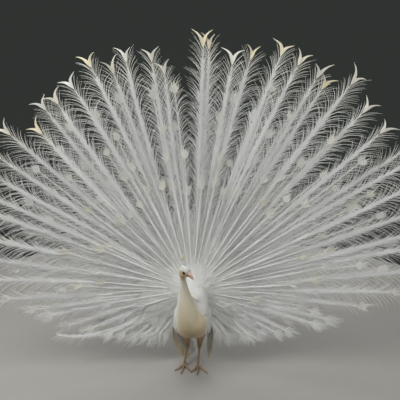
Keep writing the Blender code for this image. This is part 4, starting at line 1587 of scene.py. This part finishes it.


@dataclass
class TrainFeather:
    """One long feather: a shaft with a dense band, loose barbs down both sides, and its own kind of tip."""

    plumage: Plumage
    path: Array
    face: Array
    tier: Tier
    tip: Tip
    tone: float
    column: float
    rng: np.random.Generator
    spacing: float = 0.0094
    bare: float = 0.045
    down_from: float = 0.50  # share of the shaft where its short barbs start
    sag: Span = (0.10, 0.22)

    def __post_init__(self) -> None:
        """Measure the shaft."""
        self.steps = np.concatenate(((0.0,), np.cumsum(np.linalg.norm(np.diff(self.path, axis=0), axis=1))))
        self.ahead = unit(self.path[-1] - self.path[-4])
        self.level = abs(self.ahead[0])
        self.open = self.rng.uniform(0.72, 1.30)
        self.hem = 0.45 * ease(-self.ahead[2], -0.25, 0.05)
        self.down = ease(-self.ahead[2], -0.15, 0.30)

    def _at(self, travel: Array, rows: Array) -> Array:
        """Read one arrow or place for each distance along the shaft."""
        return np.stack([np.interp(travel, self.steps, rows[:, k]) for k in range(3)], -1)

    def _beside(self, travel: Array, sign: float) -> tuple[Array, Array, Array, Array]:
        """Place, and arrows out of the fan, along the shaft and away from it, for distances on one side."""
        root, normal = self._at(travel, self.path), unit(self._at(travel, self.face))
        ahead = unit(self._at(travel, np.gradient(self.path, self.steps, axis=0)))
        return root, normal, ahead, unit(np.cross(normal, ahead)) * sign

    def _rolled(self, normal: Array, aside: Array, amount: float, number: int) -> Array:
        """Faces of a number of vanes, each turned a little about its own length."""
        return (normal + aside * self.rng.normal(0, amount, number)[:, None])[:, None]

    def lay_plume(self, brushy: bool) -> None:
        """Lay the shaft and its barbs, with short ones too where it is brushy."""
        self._lay_core()
        self._lay_barbs()
        if brushy:
            self._lay_down()

    def _lay_barbs(self) -> None:
        """Lay loose barbs down both sides of the shaft.

        A barb is the running sum of steps at a widening angle, pulled down a little by its weight. Towards the
        tip they start wider and grow shorter, and a slow wave along the shaft gathers them in clumps.
        """
        rng, tier = self.rng, self.tier
        start = min(tier.start, self.steps[-1] * 0.4)
        room = self.steps[-1] - start - self.bare * (self.tip is Tip.FISHTAIL)
        number = int(room / self.spacing)
        if number < 4:
            return
        v = np.linspace(0, 1, 5)
        middle = (v[1:] + v[:-1]) / 2
        for sign in (1.0, -1.0):
            share = ((np.arange(number) + rng.uniform(0, 0.7, number)) / number) ** 1.2
            travel = start + share * room
            root, normal, ahead, aside = self._beside(travel, sign)
            late = ease(share, 0.70, 1.0)
            clump = np.sin(travel * rng.uniform(60, 110) + rng.uniform(0, 6.3))
            length = tier.barb * mix(0.7, 1.0, ease(share, 0.0, 0.35)) * (1 - 0.38 * late)
            length = length * (rng.uniform(0.70, 1.08, number) + 0.08 * clump)
            length = length * (1 - self.hem * ease(-aside[:, 2], 0.2, 0.8)) * (1 - 0.35 * self.down)
            first = np.radians(mix(7.0, 17.0, late) + rng.normal(0, 2.5, number))
            final = mix(26.0, 56.0, ease(share, 0.15, 0.75)) * self.open * (1 - 0.4 * self.down)
            final = final + rng.normal(0, 5.0, number) + 5.0 * clump
            final = np.radians(mix(final, 38.0, ease(share, 0.80, 1.0)))
            angle = first[:, None] + (final - first)[:, None] * middle**1.15
            run = 0.25 * length[:, None]
            step = (np.cos(angle) * run)[..., None] * ahead[:, None]
            step = step + (np.sin(angle) * run)[..., None] * aside[:, None]
            line = np.concatenate((np.zeros((number, 1, 3)), np.cumsum(step, axis=1)), axis=1) + root[:, None]
            curl = (rng.normal(0.0, 0.05, number) + 0.03 * clump)[:, None] * v**2 * length[:, None]
            line = line + curl[..., None] * normal[:, None]
            line[..., 2] -= mix(*self.sag, self.level) * length[:, None] * v**2
            half = np.array((0.0009, 0.0009, 0.0008, 0.0006, 0.0003)) * rng.uniform(0.75, 1.25, number)[:, None]
            warm = (0.02 + 0.10 * ease(share, 0.6, 1.0))[:, None] + 0.05 * v
            place = paired(self.column + sign * 0.006, 0.03 + 0.94 * share)
            # Painted shade: barbs are darker near their roots, towards the middle of the fan, with a random
            # spread.
            fixed = self.tone - 0.4 * (1 - ease(share, 0.0, 0.5)) + rng.normal(0, 0.15, number)
            rolled = self._rolled(normal, aside, 0.35, number)
            self.plumage.add(line, rolled, half, half * 0.5, np.clip(fixed, 0, 1), warm, place, 3)

    def _lay_down(self) -> None:
        """Lay short barbs close beside the shaft, which make its band brushy."""
        rng = self.rng
        start = self.steps[-1] * self.down_from
        room = self.steps[-1] - start - self.bare * 2.2
        number = max(0, int(room / 0.0066))
        v = np.array((0.0, 0.5, 1.0))
        for sign in (1.0, -1.0):
            share = (np.arange(number) + rng.uniform(0, 0.8, number)) / number
            root, normal, ahead, aside = self._beside(start + share * room, sign)
            length = rng.uniform(0.045, 0.080, number) * (1 - 0.45 * share)
            slope = np.radians(rng.uniform(7, 19, number))
            way = np.cos(slope)[:, None] * ahead + np.sin(slope)[:, None] * aside
            line = root[:, None] + (length[:, None] * v)[..., None] * way[:, None]
            line = line + (length[:, None] * 0.08 * v**2)[..., None] * aside[:, None]
            line = line + (0.0012 + rng.normal(0, 0.0012, number))[:, None, None] * normal[:, None]
            half = np.array((0.0010, 0.0014, 0.0003)) * rng.uniform(0.8, 1.3, number)[:, None]
            rolled = self._rolled(normal, aside, 0.35, number)
            tone = np.clip(self.tone + rng.normal(0, 0.12, number), 0, 1)
            self.plumage.add(line, rolled, half, half * 0.5, tone, 0.03,
                        paired(self.column + sign * 0.004, 0.03 + 0.94 * share), 3)

    def _lay_core(self) -> None:
        """Lay the dense band along the shaft, and the shaft itself in front of it and behind."""
        normal = self.face[None]
        s = np.linspace(0, 1, len(self.path))
        edge = np.interp(s, (0.0, 0.35, 0.6, 0.75, 0.90, 1.0), (0.25, 0.40, 0.95, 0.8, 0.25, 0.08))
        edge = self.tier.core * edge * self.rng.uniform(0.9, 1.1, len(s)) * self.rng.uniform(0.65, 1.3)
        warm = 0.01 + 0.10 * ease(s, 0.75, 1.0)
        self.plumage.add(self.path[None], normal, edge, 0.0007, self.tone, warm, (self.column, 0.5))
        thin = np.interp(s, (0.0, 0.6, 1.0), (0.0030, 0.0021, 0.0012))
        for lift in (0.0009, -0.0009):
            self.plumage.add(self.path[None] + normal * lift, normal, thin, thin * 0.8, 1.0, warm + 0.02,
                        (self.column + 0.002, 0.51), 3)

    def lay_fishtail(self) -> None:
        """Lay two pointed arms that share a root and curve apart, with a webbed notch between them."""
        rng, normal = self.rng, self.face[-1]
        aside = unit(np.cross(normal, self.ahead))
        v = np.linspace(0, 1, 9)
        # Painted warm sunlight: the fishtails at the top of the fan are cream.
        warm = rng.uniform(0.12, 0.48)
        for sign in (1.0, -1.0):
            length = rng.uniform(0.078, 0.112)
            angle = np.radians(rng.uniform(2, 14) + rng.uniform(46, 74) * ease(v, 0.05, rng.uniform(0.7, 1.2)))
            step = (np.cos(angle)[:, None] * self.ahead + np.sin(angle)[:, None] * aside * sign) * (length / 8)
            line = self.path[-1] - self.ahead * 0.030 + np.vstack((np.zeros(3), np.cumsum(step[:-1], axis=0)))
            line = line + normal * (rng.normal(0, 0.005) * v**2)[:, None]
            half = np.interp(v, (0.0, 0.15, 0.34, 0.6, 1.0), (0.0022, 0.0066, 0.0092, 0.0050, 0.0005))
            rolled = normal + aside * rng.normal(0, 0.25)
            self.plumage.add(line[None], rolled, half, 0.0006, self.tone, warm, (self.column, 0.98))

    def lay_eye_spot(self) -> None:
        """Lay a dense round spot: vanes that fan out from a point of the circle, each as long as its chord."""
        rng, normal = self.rng, self.face[-1]
        aside = unit(np.cross(normal, self.ahead))
        radius = mix(rng.uniform(0.016, 0.025), rng.uniform(0.026, 0.034), self.down)
        number = 21
        v = np.array((0.0, 0.25, 0.5, 0.72, 0.88, 1.0))
        angle = np.radians(np.linspace(-74, 74, number))
        length = 2.3 * radius * np.cos(angle) ** 0.8 * rng.uniform(0.72, 1.25, number)
        bent = angle[:, None] * (1 - 0.12 * v**2)
        slender = rng.uniform(1.0, 1.5)
        way = slender * np.cos(bent)[..., None] * self.ahead + np.sin(bent)[..., None] * aside
        line = self.path[-1] - self.ahead * radius * 1.2 + way * (length[:, None] * v)[..., None]
        line = line + normal * (rng.normal(0, 0.0030, number)[:, None] * v)[..., None]
        half = np.array((0.0012, 0.0026, 0.0033, 0.0026, 0.0013, 0.0003))
        half = half * (radius / 0.025) * (1 - 0.55 * self.down)
        half = half * np.clip(length / radius, 0.35, 1.0)[:, None]
        warm = rng.uniform(0.03, 0.24) * (1 - 0.8 * self.down)
        tone = np.clip(self.tone + rng.normal(0.1, 0.2, number) - 0.3 * self.down, 0, 1)
        rolled = self._rolled(normal, aside, 0.20, number)
        self.plumage.add(line, rolled, half, 0.0007, tone, warm, (self.column + 0.003, 0.9), 3)


@dataclass
class Train:
    """The raised fan: long shafts with loose barbs, fishtails at the rim and eye spots inward."""

    centre: Place = (0.0, 0.150, 0.443)
    angles: Span = (-60.0, 240.0)
    sectors: int = 15
    feathers_before: int = 45  # feathers that the unevenness of the rim is numbered by
    lean: float = 0.12
    dish: float = 0.133
    reach: float = 1.29
    lopsided: float = 0.065
    uneven: float = 0.045
    long_side: float = 48.0
    lowest: float = 0.165
    hem_start: float = 0.50
    hem_rise: float = 0.44
    upsweep: float = 0.10
    rows: int = 44
    gap: float = 5.3  # degrees between the longest feathers at the sides
    top_count: int = 19  # longest feathers at the top, where they stand closer
    top_angles: Span = (48.0, 132.0)
    top_reach: Span = (0.925, 1.0)  # shortest and longest of them, as shares of the fan's own reach
    fishtail_angles: Span = (8.0, 172.0)
    loose_span: Span = (0.10, 0.75)  # how far out one drooping plume begins and ends
    droop: float = 0.24
    droop_at: float = 0.8  # share of that plume at which it hangs lowest
    loose_tier: Tier = Tier(1, 1.0, 0.0, (-0.012, 0.036), 0.30, 0.0135, 0.080, (1.0, 1.0))
    # The shorter tiers take darker tones, as painted shade among the longest feathers.
    tiers: tuple[Tier, ...] = (
        Tier(0, 0.98, 0.020, (0.006, 0.018), 0.30, 0.0115, 0.190, (0.30, 1.0)),
        Tier(38, 0.82, 0.030, (0.008, 0.004), 0.28, 0.0060, 0.145, (0.20, 0.7)),
        Tier(42, 0.70, 0.030, (0.013, 0.008), 0.22, 0.0060, 0.125, (0.10, 0.6)),
        Tier(44, 0.57, 0.030, (0.018, 0.012), 0.16, 0.0060, 0.105, (0.10, 0.6)),
        Tier(44, 0.45, 0.025, (0.024, 0.016), 0.12, 0.0060, 0.085, (0.10, 0.6)),
    )

    def rim(self, degrees: Array) -> Array:
        """How far the fan reaches.

        The uneven reach, longer to one side, meets a level hem and one that rises outward: the inverse is the
        eighth root of the sum of the eighth powers of theirs.

        Args:
            degrees: Angles from the left, over the top.

        Returns:
            Distances from the centre.
        """
        def ragged(number: Array) -> Array:
            """Two sines of different pitch."""
            return np.sin(2.4 * number) * 0.6 + np.sin(5.3 * number + 1.0) * 0.4

        first, last = self.angles
        slot = (degrees - first) / (last - first) * self.feathers_before - 0.5
        low = np.floor(slot)
        uneven = mix(ragged(low), ragged(low + 1), slot - low)
        reach = self.reach * (1 + self.lopsided * np.cos(np.radians(degrees - self.long_side)))
        reach = reach * (1 + self.uneven * uneven)
        across, above = np.abs(np.cos(np.radians(degrees))), np.sin(np.radians(degrees))
        drop = self.centre[2] - self.lowest
        rising = (self.hem_rise * across - above) / (drop + self.hem_rise * self.hem_start)
        shares = np.stack((1 / reach, -above / drop, rising))
        return (np.maximum(shares, 0.0) ** 8).sum(0) ** -0.125

    def place(self, degrees: Array, radius: Array, forward: Array) -> Array:
        """A point of the fan.

        The radius goes across by its cosine and up by its sine, with an upward sweep far out at the sides. The
        depth leans back with the rise and bows forward with the square of the distance.

        Args:
            degrees: Angles.
            radius: Distances from the centre.
            forward: How far in front.

        Returns:
            Places.
        """
        angle = np.radians(degrees)
        span = radius / self.reach
        x = radius * np.cos(angle)
        rise = radius * np.sin(angle) + self.upsweep * np.abs(np.cos(angle)) * (span**2 - span / 2)
        y = self.centre[1] + self.lean * rise - self.dish * (x * x + rise * rise) - forward
        return np.stack((x, y, self.centre[2] + rise), -1)

    def face(self, points: Array) -> Array:
        """The way the fan looks at a point: square to its lean and bow, towards the front."""
        x, rise = points[..., 0], points[..., 2] - self.centre[2]
        return unit(np.stack((-2 * self.dish * x, -np.ones_like(x), self.lean - 2 * self.dish * rise), -1))

    def _shaft(self, degrees: float, length: float, stand: Span, rng: np.random.Generator) -> Array:
        """The middle line of one feather, with a little bend of its own."""
        s = np.linspace(0, 1, self.rows)
        bend, wave = rng.normal(0, 0.9), rng.normal(0, 0.3)
        angle = degrees + bend * (s**2 - 1) + wave * np.sin(s * 7.0 + rng.uniform(0, 6.3)) * (1 - s)
        forward = mix(*stand, s) + rng.uniform(-0.003, 0.003) + rng.normal(0, 0.005) * s**2
        return self.place(angle, 0.05 + s * (length - 0.05), forward)

    def _plan(self, tier: Tier, rng: np.random.Generator) -> tuple[Array, Array, list[Tip]]:
        """Where a tier's feathers point, how long they are and how they end.

        Args:
            tier: The tier; without a count, that of the longest.
            rng: Random numbers.

        Returns:
            Angles, lengths and tips.
        """
        first, last = self.angles
        low, high = self.top_angles
        if tier.count:
            degrees = first + (np.arange(tier.count) + 0.5) * (last - first) / tier.count
        else:
            degrees = np.concatenate((np.arange(low - self.gap, first, -self.gap),
                                      np.arange(high + self.gap, last, self.gap)))
        degrees = degrees + rng.normal(0, 0.9, len(degrees))
        length = self.rim(degrees) * (tier.reach + rng.uniform(-tier.spread, tier.spread, len(degrees)))
        if tier.count:
            return degrees, length, [Tip.EYE_SPOT] * len(degrees)
        top = np.random.default_rng(11)
        upper = np.linspace(low, high, self.top_count) + top.normal(0, 1.3, self.top_count)
        degrees = np.concatenate((degrees, upper))
        length = np.concatenate((length, self.rim(upper) * top.uniform(*self.top_reach, self.top_count)))
        low, high = self.fishtail_angles
        return degrees, length, [Tip.FISHTAIL if low < angle < high else Tip.EYE_SPOT for angle in degrees]

    def _lay_loose(self, plumage: Plumage, rng: np.random.Generator) -> None:
        """Lay the plume that droops along the hem and lifts at its tip: a hanging parabola."""
        share = np.linspace(0, 1, self.rows)
        aside, down = mix(*self.loose_span, share), self.droop * (1 - (1 - share / self.droop_at) ** 2)
        degrees, radius = 180 + np.degrees(np.arctan2(down, aside)), np.hypot(aside, down)
        path = self.place(degrees, radius, mix(*self.loose_tier.stand, share))
        plume = TrainFeather(plumage, path, self.face(path), self.loose_tier, Tip.EYE_SPOT, 1.0, 0.97, rng)
        plume.lay_plume(True)

    def build(self) -> None:
        """Every tier, gathered by sector so that each piece stands for one node."""
        rng = np.random.default_rng(101)
        first, last = self.angles
        made = [Plumage() for _ in range(self.sectors)]
        used = [0] * self.sectors
        for tier in self.tiers:
            for angle, reach, tip in zip(*self._plan(tier, rng)):
                sector = int(np.clip((angle - first) / (last - first) * self.sectors, 0, self.sectors - 1))
                path = self._shaft(angle, reach, tier.stand, rng)
                feather = TrainFeather(made[sector], path, self.face(path), tier, tip, rng.uniform(*tier.tone),
                                       0.02 + 0.018 * used[sector], rng)
                used[sector] += 1
                feather.lay_plume(not tier.count)
                if tip is Tip.FISHTAIL:
                    feather.lay_fishtail()
                else:
                    feather.lay_eye_spot()
        self._lay_loose(made[13], rng)
        for number, plumage in enumerate(made, start=1):
            plumage.build(f"train_feathers_{number:02d}", "white_feather", [f"train_{number:02d}"])


@dataclass
class BackScales:
    """Short back feathers in front of the train, laid like flat scales that grow long and narrow outward."""

    train: Train
    angles: Span = (-48.0, 228.0)
    inner: float = 0.015
    side: float = 0.30
    top: float = 0.42
    stand: float = 0.025
    flare: float = 0.115
    flare_reach: float = 0.17

    def _at(self, degrees: Array, radius: Array, lift: Array) -> Array:
        """A place over the fan, forward to the bird's back by the square of its nearness to the middle."""
        near = np.maximum(0.0, 1 - radius / self.flare_reach)
        return self.train.place(degrees, radius, self.stand + self.flare * near**2 + lift)

    def _facing(self, degrees: Array, radius: Array, lift: Array) -> Array:
        """The way that surface looks: square to its slopes outward and round."""
        outward = self._at(degrees, radius + 0.002, lift) - self._at(degrees, radius - 0.002, lift)
        around = self._at(degrees + 0.5, radius, lift) - self._at(degrees - 0.5, radius, lift)
        return unit(np.cross(outward, around))

    def build(self) -> None:
        """Rings of vanes about the train's centre; inner rings lie over outer ones."""
        rng = np.random.default_rng(131)
        plumage = Plumage()
        start, ring = self.inner, 0
        v = np.linspace(0, 1, 5)
        while start < self.top - 0.03:
            share = (start - self.inner) / (self.top - self.inner)
            length, half = mix(0.045, 0.130, share), mix(0.0060, 0.0034, share)
            span = math.radians(self.angles[1] - self.angles[0])
            count = int(span * (start + length * 0.5) / (half * 1.15))
            degrees = np.linspace(*self.angles, count) + rng.normal(0, 0.5, count) + 0.5 * (ring % 2)
            outer = mix(self.side, self.top, bell(degrees - 88.0, 30.0)) * rng.uniform(0.80, 1.15, count)
            limit = np.minimum(self.train.rim(degrees) - 0.03, outer) - start
            good = (limit > length * 0.5) & (rng.uniform(0, 1, count) > 0.65 * ease(start / outer, 0.55, 1.0))
            degrees, limit = degrees[good], limit[good]
            count = len(degrees)
            reach = np.minimum(length * rng.uniform(0.85, 1.25, count), limit)
            angle = degrees[:, None] + rng.normal(0, 0.7, count)[:, None] * v**2
            radius = start + rng.uniform(-0.008, 0.008, count)[:, None] + reach[:, None] * v
            lift = 0.0015 * v - 0.017 * share + rng.uniform(-0.0006, 0.0006, count)[:, None]
            path = self._at(angle, radius, lift)
            width = half * np.array((0.45, 0.95, 1.0, 0.85, 0.25)) * rng.uniform(0.9, 1.1, (count, 1))
            place = paired((degrees - self.angles[0]) / (self.angles[1] - self.angles[0]), 0.1 + 0.8 * share)
            normal = self._facing(angle, radius, lift)
            aside = unit(np.cross(normal, np.gradient(path, axis=1)))
            normal = normal + aside * rng.normal(0, 0.16, count)[:, None, None]
            # Painted shade: the scales take only the darker tones, at random between them, for the shade in the
            # middle of the fan.
            plumage.add(path, normal, width, 0.0004, rng.uniform(0.0, 0.35, count), 0.08, place)
            start += length * 0.25
            ring += 1
        plumage.build("back_scales", "white_feather", ["back_feathers"])


@dataclass
class Legs:
    """Scaled shanks and toes, claws and spurs."""

    shank_steps: tuple = (0.0, 0.16, 0.60, 1.0)
    shank_radii: tuple = (0.0092, 0.0068, 0.0062, 0.0066)
    toe_steps: tuple = (0.0, 0.30, 0.62, 1.0)
    toe_radii: tuple = (0.0062, 0.0058, 0.0052, 0.0044)
    claw: float = 0.013
    sole: float = 0.0009
    scute: float = 0.0052  # length of one plate on the shank
    plate: float = 0.0034  # length of one plate on a toe
    pad: float = 0.0098
    spur: float = 0.020
    spur_at: float = 0.66

    def _plated(self, path: Array, hint: Place, girth: Array, tall: float, height: Array) -> Array:
        """Ellipses carried along a path, raised away from it.

        Args:
            path: The middle line.
            hint: The way that the upper side faces.
            girth: Half the width at each ring.
            tall: Height of a ring as a share of its width.
            height: How far every point is raised.

        Returns:
            The rings.
        """
        across, above = crosswise(path, np.array(hint))
        rings = tube_rings(path, across * girth[:, None], above * girth[:, None] * tall, height.shape[1])
        return rings + unit(rings - path[:, None]) * height[..., None]

    def _shank(self, leg: LegForm) -> tuple[Array, Array]:
        """The shank: a tapering tube with overlapping plates down its front and small ones behind.

        Returns:
            The rings, and the height of the plates at every point.
        """
        count, sides = 150, 36
        share = np.linspace(-0.04, 1.06, count)
        ankle, foot = np.asarray(leg.ankle), np.asarray(leg.foot)
        path = ankle + np.outer(share, foot - ankle)
        radius = np.interp(share, self.shank_steps, self.shank_radii)
        radius = radius + 0.0012 * bell(share - 1.02, 0.06) + 0.0006 * bell(share - 0.02, 0.05)
        travel = share * np.linalg.norm(foot - ankle)
        angle = np.linspace(0, 2 * math.pi, sides, endpoint=False)
        front = ease(np.cos(angle), -0.2, 0.5)
        large = 1 - np.mod(travel / self.scute, 1.0)[:, None] ** 0.7 * np.ones(sides)
        small = 0.5 + 0.5 * np.sin(travel[:, None] / 0.0009) * np.cos(angle * 9)[None]
        relief = np.clip(mix(small, large, front[None]), 0, 1)
        return self._plated(path, (0.0, -1.0, 0.0), radius, 1.08, (relief - 0.4) * 0.0007), relief

    def _toe(self, leg: LegForm, tip: Span) -> tuple[Array, Array]:
        """A toe: a tube that comes down from the joint and lies along the ground.

        It swells at three joints, carries plates on top and round pads below, and is flat where it stands.

        Returns:
            The rings, and the height of the plates at every point.
        """
        count, sides = 110, 28
        share = np.linspace(0, 1, count)
        joint = np.asarray(leg.foot)
        end = np.array((*tip, 0.0)) - leg.toe_way(tip) * self.claw
        path = np.array((joint[0], joint[1], 0.0)) + np.outer(share, end - (joint[0], joint[1], 0.0))
        radius = np.interp(share, self.toe_steps, self.toe_radii)
        lift = (joint[2] - 0.006) * np.maximum(0.0, 1 - share / 0.45) ** 1.5
        path[:, 2] = radius - self.sole + lift
        swell = sum(0.08 * bell(share - at, 0.06) for at in (0.34, 0.63, 0.88)) - 0.05
        travel = share * np.linalg.norm(end[:2] - joint[:2])
        angle = np.linspace(0, 2 * math.pi, sides, endpoint=False)
        top, under = ease(np.cos(angle), -0.1, 0.5), ease(-np.cos(angle), 0.0, 0.7)
        plates = 1 - np.mod(travel / self.plate, 1.0)[:, None] ** 0.7 * np.ones(sides)
        pads = np.abs(np.sin(travel * math.pi / self.pad))[:, None] * np.ones(sides)
        grain = 0.5 + 0.5 * np.sin(travel[:, None] / 0.0008) * np.cos(angle * 8)[None]
        relief = np.clip(plates * top + grain * (1 - top) * 0.7 + 0.2 * pads * under, 0, 1)
        height = (relief - 0.4) * 0.0006 + pads * under * 0.0007
        rings = self._plated(path, (0.0, 0.0, 1.0), radius * (1 + swell), 1.0, height)
        rings[..., 2] = np.maximum(rings[..., 2], 0.0)
        return rings, relief

    def _horn(self, name: str, spines: list[Array], girths: list[Array], replaced: list[str]) -> None:
        """Curved horn tips as one piece: ellipses carried along short bent lines, with their backs upward.

        Args:
            name: The piece's name.
            spines: Their middle lines.
            girths: Their radii.
            replaced: The nodes that they stand for.
        """
        points, triangles, along, count = [], [], [], 0
        for spine, girth in zip(spines, girths):
            across, above = crosswise(spine, np.array((0.0, 0.0, 1.0)))
            rings = tube_rings(spine, across * girth[:, None] * 0.86, above * girth[:, None] * 1.08, 16)
            flat = np.vstack((rings.reshape(-1, 3), rings[0].mean(0), rings[-1].mean(0)))
            faces = facing_out(flat, tube_triangles(len(spine), 16))
            points.append(flat)
            triangles.append(faces + count)
            count += len(flat)
            along.append(np.concatenate((np.repeat(np.linspace(0, 1, len(spine)), 16), (0.0, 1.0))))
        mesh = mesh_of(name, np.vstack(points), np.vstack(triangles))
        set_number(mesh, "along", np.concatenate(along))
        settle(name, mesh, CLAW_HORN, replaced)

    def build(self) -> None:
        """Both feet with their claws and spurs."""
        for leg in LEGS:
            word = leg.side.word
            meshes = []
            tubes = [self._shank(leg)] + [self._toe(leg, tip) for tip in leg.toes.values()]
            for number, (rings, relief) in enumerate(tubes):
                meshes.append(closed_tube(f"leg_tube_{word}_{number}", rings))
                set_number(meshes[-1], "relief", np.concatenate((relief.ravel(), (0.5, 0.5))))
            settle("leg_" + word, joined("leg_" + word, meshes[0], meshes[1:]), SCALE,
                   ["shank_" + word, "foot_" + word])

            spines, girths, nodes = [], [], []
            u = np.linspace(0, 1, 14)
            for name, tip in leg.toes.items():
                spine = np.array((*tip, self.toe_radii[-1] - self.sole))
                spine = spine - np.outer((1 - u) * (self.claw + 0.002), leg.toe_way(tip))
                spine[:, 2] += 0.0011 * np.sin(u * math.pi) - 0.0022 * u**2
                spines.append(spine)
                girths.append(0.0034 * (1 - u) ** 0.62 + 0.0003)
                nodes.append(f"claw_{name}_{word}")
            self._horn("claws_" + word, spines, girths, nodes)

            ankle, foot = np.asarray(leg.ankle), np.asarray(leg.foot)
            root = ankle + (foot - unit(foot - ankle) * 0.0103 - ankle) * self.spur_at
            way = unit(np.array((-0.35 * leg.side.value, 1.0, -0.15)))
            spine = root + np.outer(u * self.spur, way) + np.outer(0.0022 * u**2, (0, 0, 1.0))
            self._horn("spur_horn_" + word, [spine], [0.0044 * (1 - u) ** 0.7 + 0.0005], ["spur_" + word])


@dataclass
class Studio:
    """A plain pale floor, soft lights and the camera."""

    camera_at: Place = (0.04, -2.2, 1.45)
    pitch: float = 11.75
    lens: float = 39.11
    floor_radius: float = 2.6
    floor: StageFinish = StageFinish("floor_paint", (0.36, 0.345, 0.32))
    air: Colour = (0.030, 0.034, 0.031)
    lamps: tuple = (
        ("key", (-1.9, -1.5, 2.7), (-0.6, 0.0, 1.4), 1.2, 40.0),
        ("side", (2.1, -1.4, 2.3), (0.6, 0.0, 1.2), 1.2, 22.0),
        ("rim", (-2.8, -0.2, 1.6), (0.0, 0.0, 0.5), 0.8, 16.0),
        ("high", (-0.5, -0.6, 2.9), (-0.4, 0.25, 1.6), 1.0, 20.0),
        ("front", (0.9, -2.2, 0.25), (-0.05, 0.1, 0.12), 0.7, 4.0),
        ("top", (0.4, 0.5, 3.6), (0.0, 0.0, 0.5), 2.4, 30.0),
        ("back", (0.6, 3.6, 2.4), (0.0, 0.0, 0.8), 2.5, 60.0),
    )

    def build(self) -> None:
        """Floor, air, lamps and camera."""
        angle = np.linspace(0, 2 * math.pi, 128, endpoint=False)
        rim = np.stack((np.cos(angle), np.sin(angle), np.zeros(128)), -1) * self.floor_radius
        mesh = closed_tube("floor", np.stack((rim - (0.0, 0.0, 0.03), rim)))
        mesh.shade_flat()
        new_object("floor", mesh, self.floor.material())
        world = bpy.data.worlds.new("air")
        world.use_nodes = True
        world.node_tree.nodes["Background"].inputs["Color"].default_value = (*self.air, 1.0)
        bpy.context.scene.world = world
        bpy.context.scene.view_settings.view_transform = "Standard"
        for name, place, target, size, power in self.lamps:
            lamp = bpy.data.lights.new(name, "AREA")
            lamp.size = size
            lamp.energy = power
            held = bpy.data.objects.new(name, lamp)
            held.location = np.asarray(place) + SHIFT
            held.visible_camera = False
            way = np.asarray(target) - np.asarray(place)
            tilt = math.atan2(math.hypot(way[0], way[1]), -way[2])
            held.rotation_euler = (tilt, 0.0, math.atan2(-way[0], way[1]))
            bpy.context.scene.collection.objects.link(held)
        lens = bpy.data.cameras.new("camera")
        lens.lens = self.lens
        lens.sensor_width = 36.0
        seat = bpy.data.objects.new("camera", lens)
        seat.location = np.asarray(self.camera_at) + SHIFT
        seat.rotation_euler = (math.radians(90.0 - self.pitch), 0.0, 0.0)
        bpy.context.scene.collection.objects.link(seat)
        bpy.context.scene.camera = seat


def main() -> None:
    """Build the bird from the skin outward, then the studio."""
    logging.basicConfig(level=logging.INFO, format="%(name)s %(message)s", force=True)
    Studio().build()
    eyes = EyeForm()
    eyes.build()
    Skin(eyes).build()
    BodyCoat(eyes).build()
    ThighCoat().build()
    Bill().build()
    Crest().build()
    Wings().build()
    Tail().build()
    train = Train()
    train.build()
    BackScales(train).build()
    Legs().build()


if __name__ == "__main__":
    main()
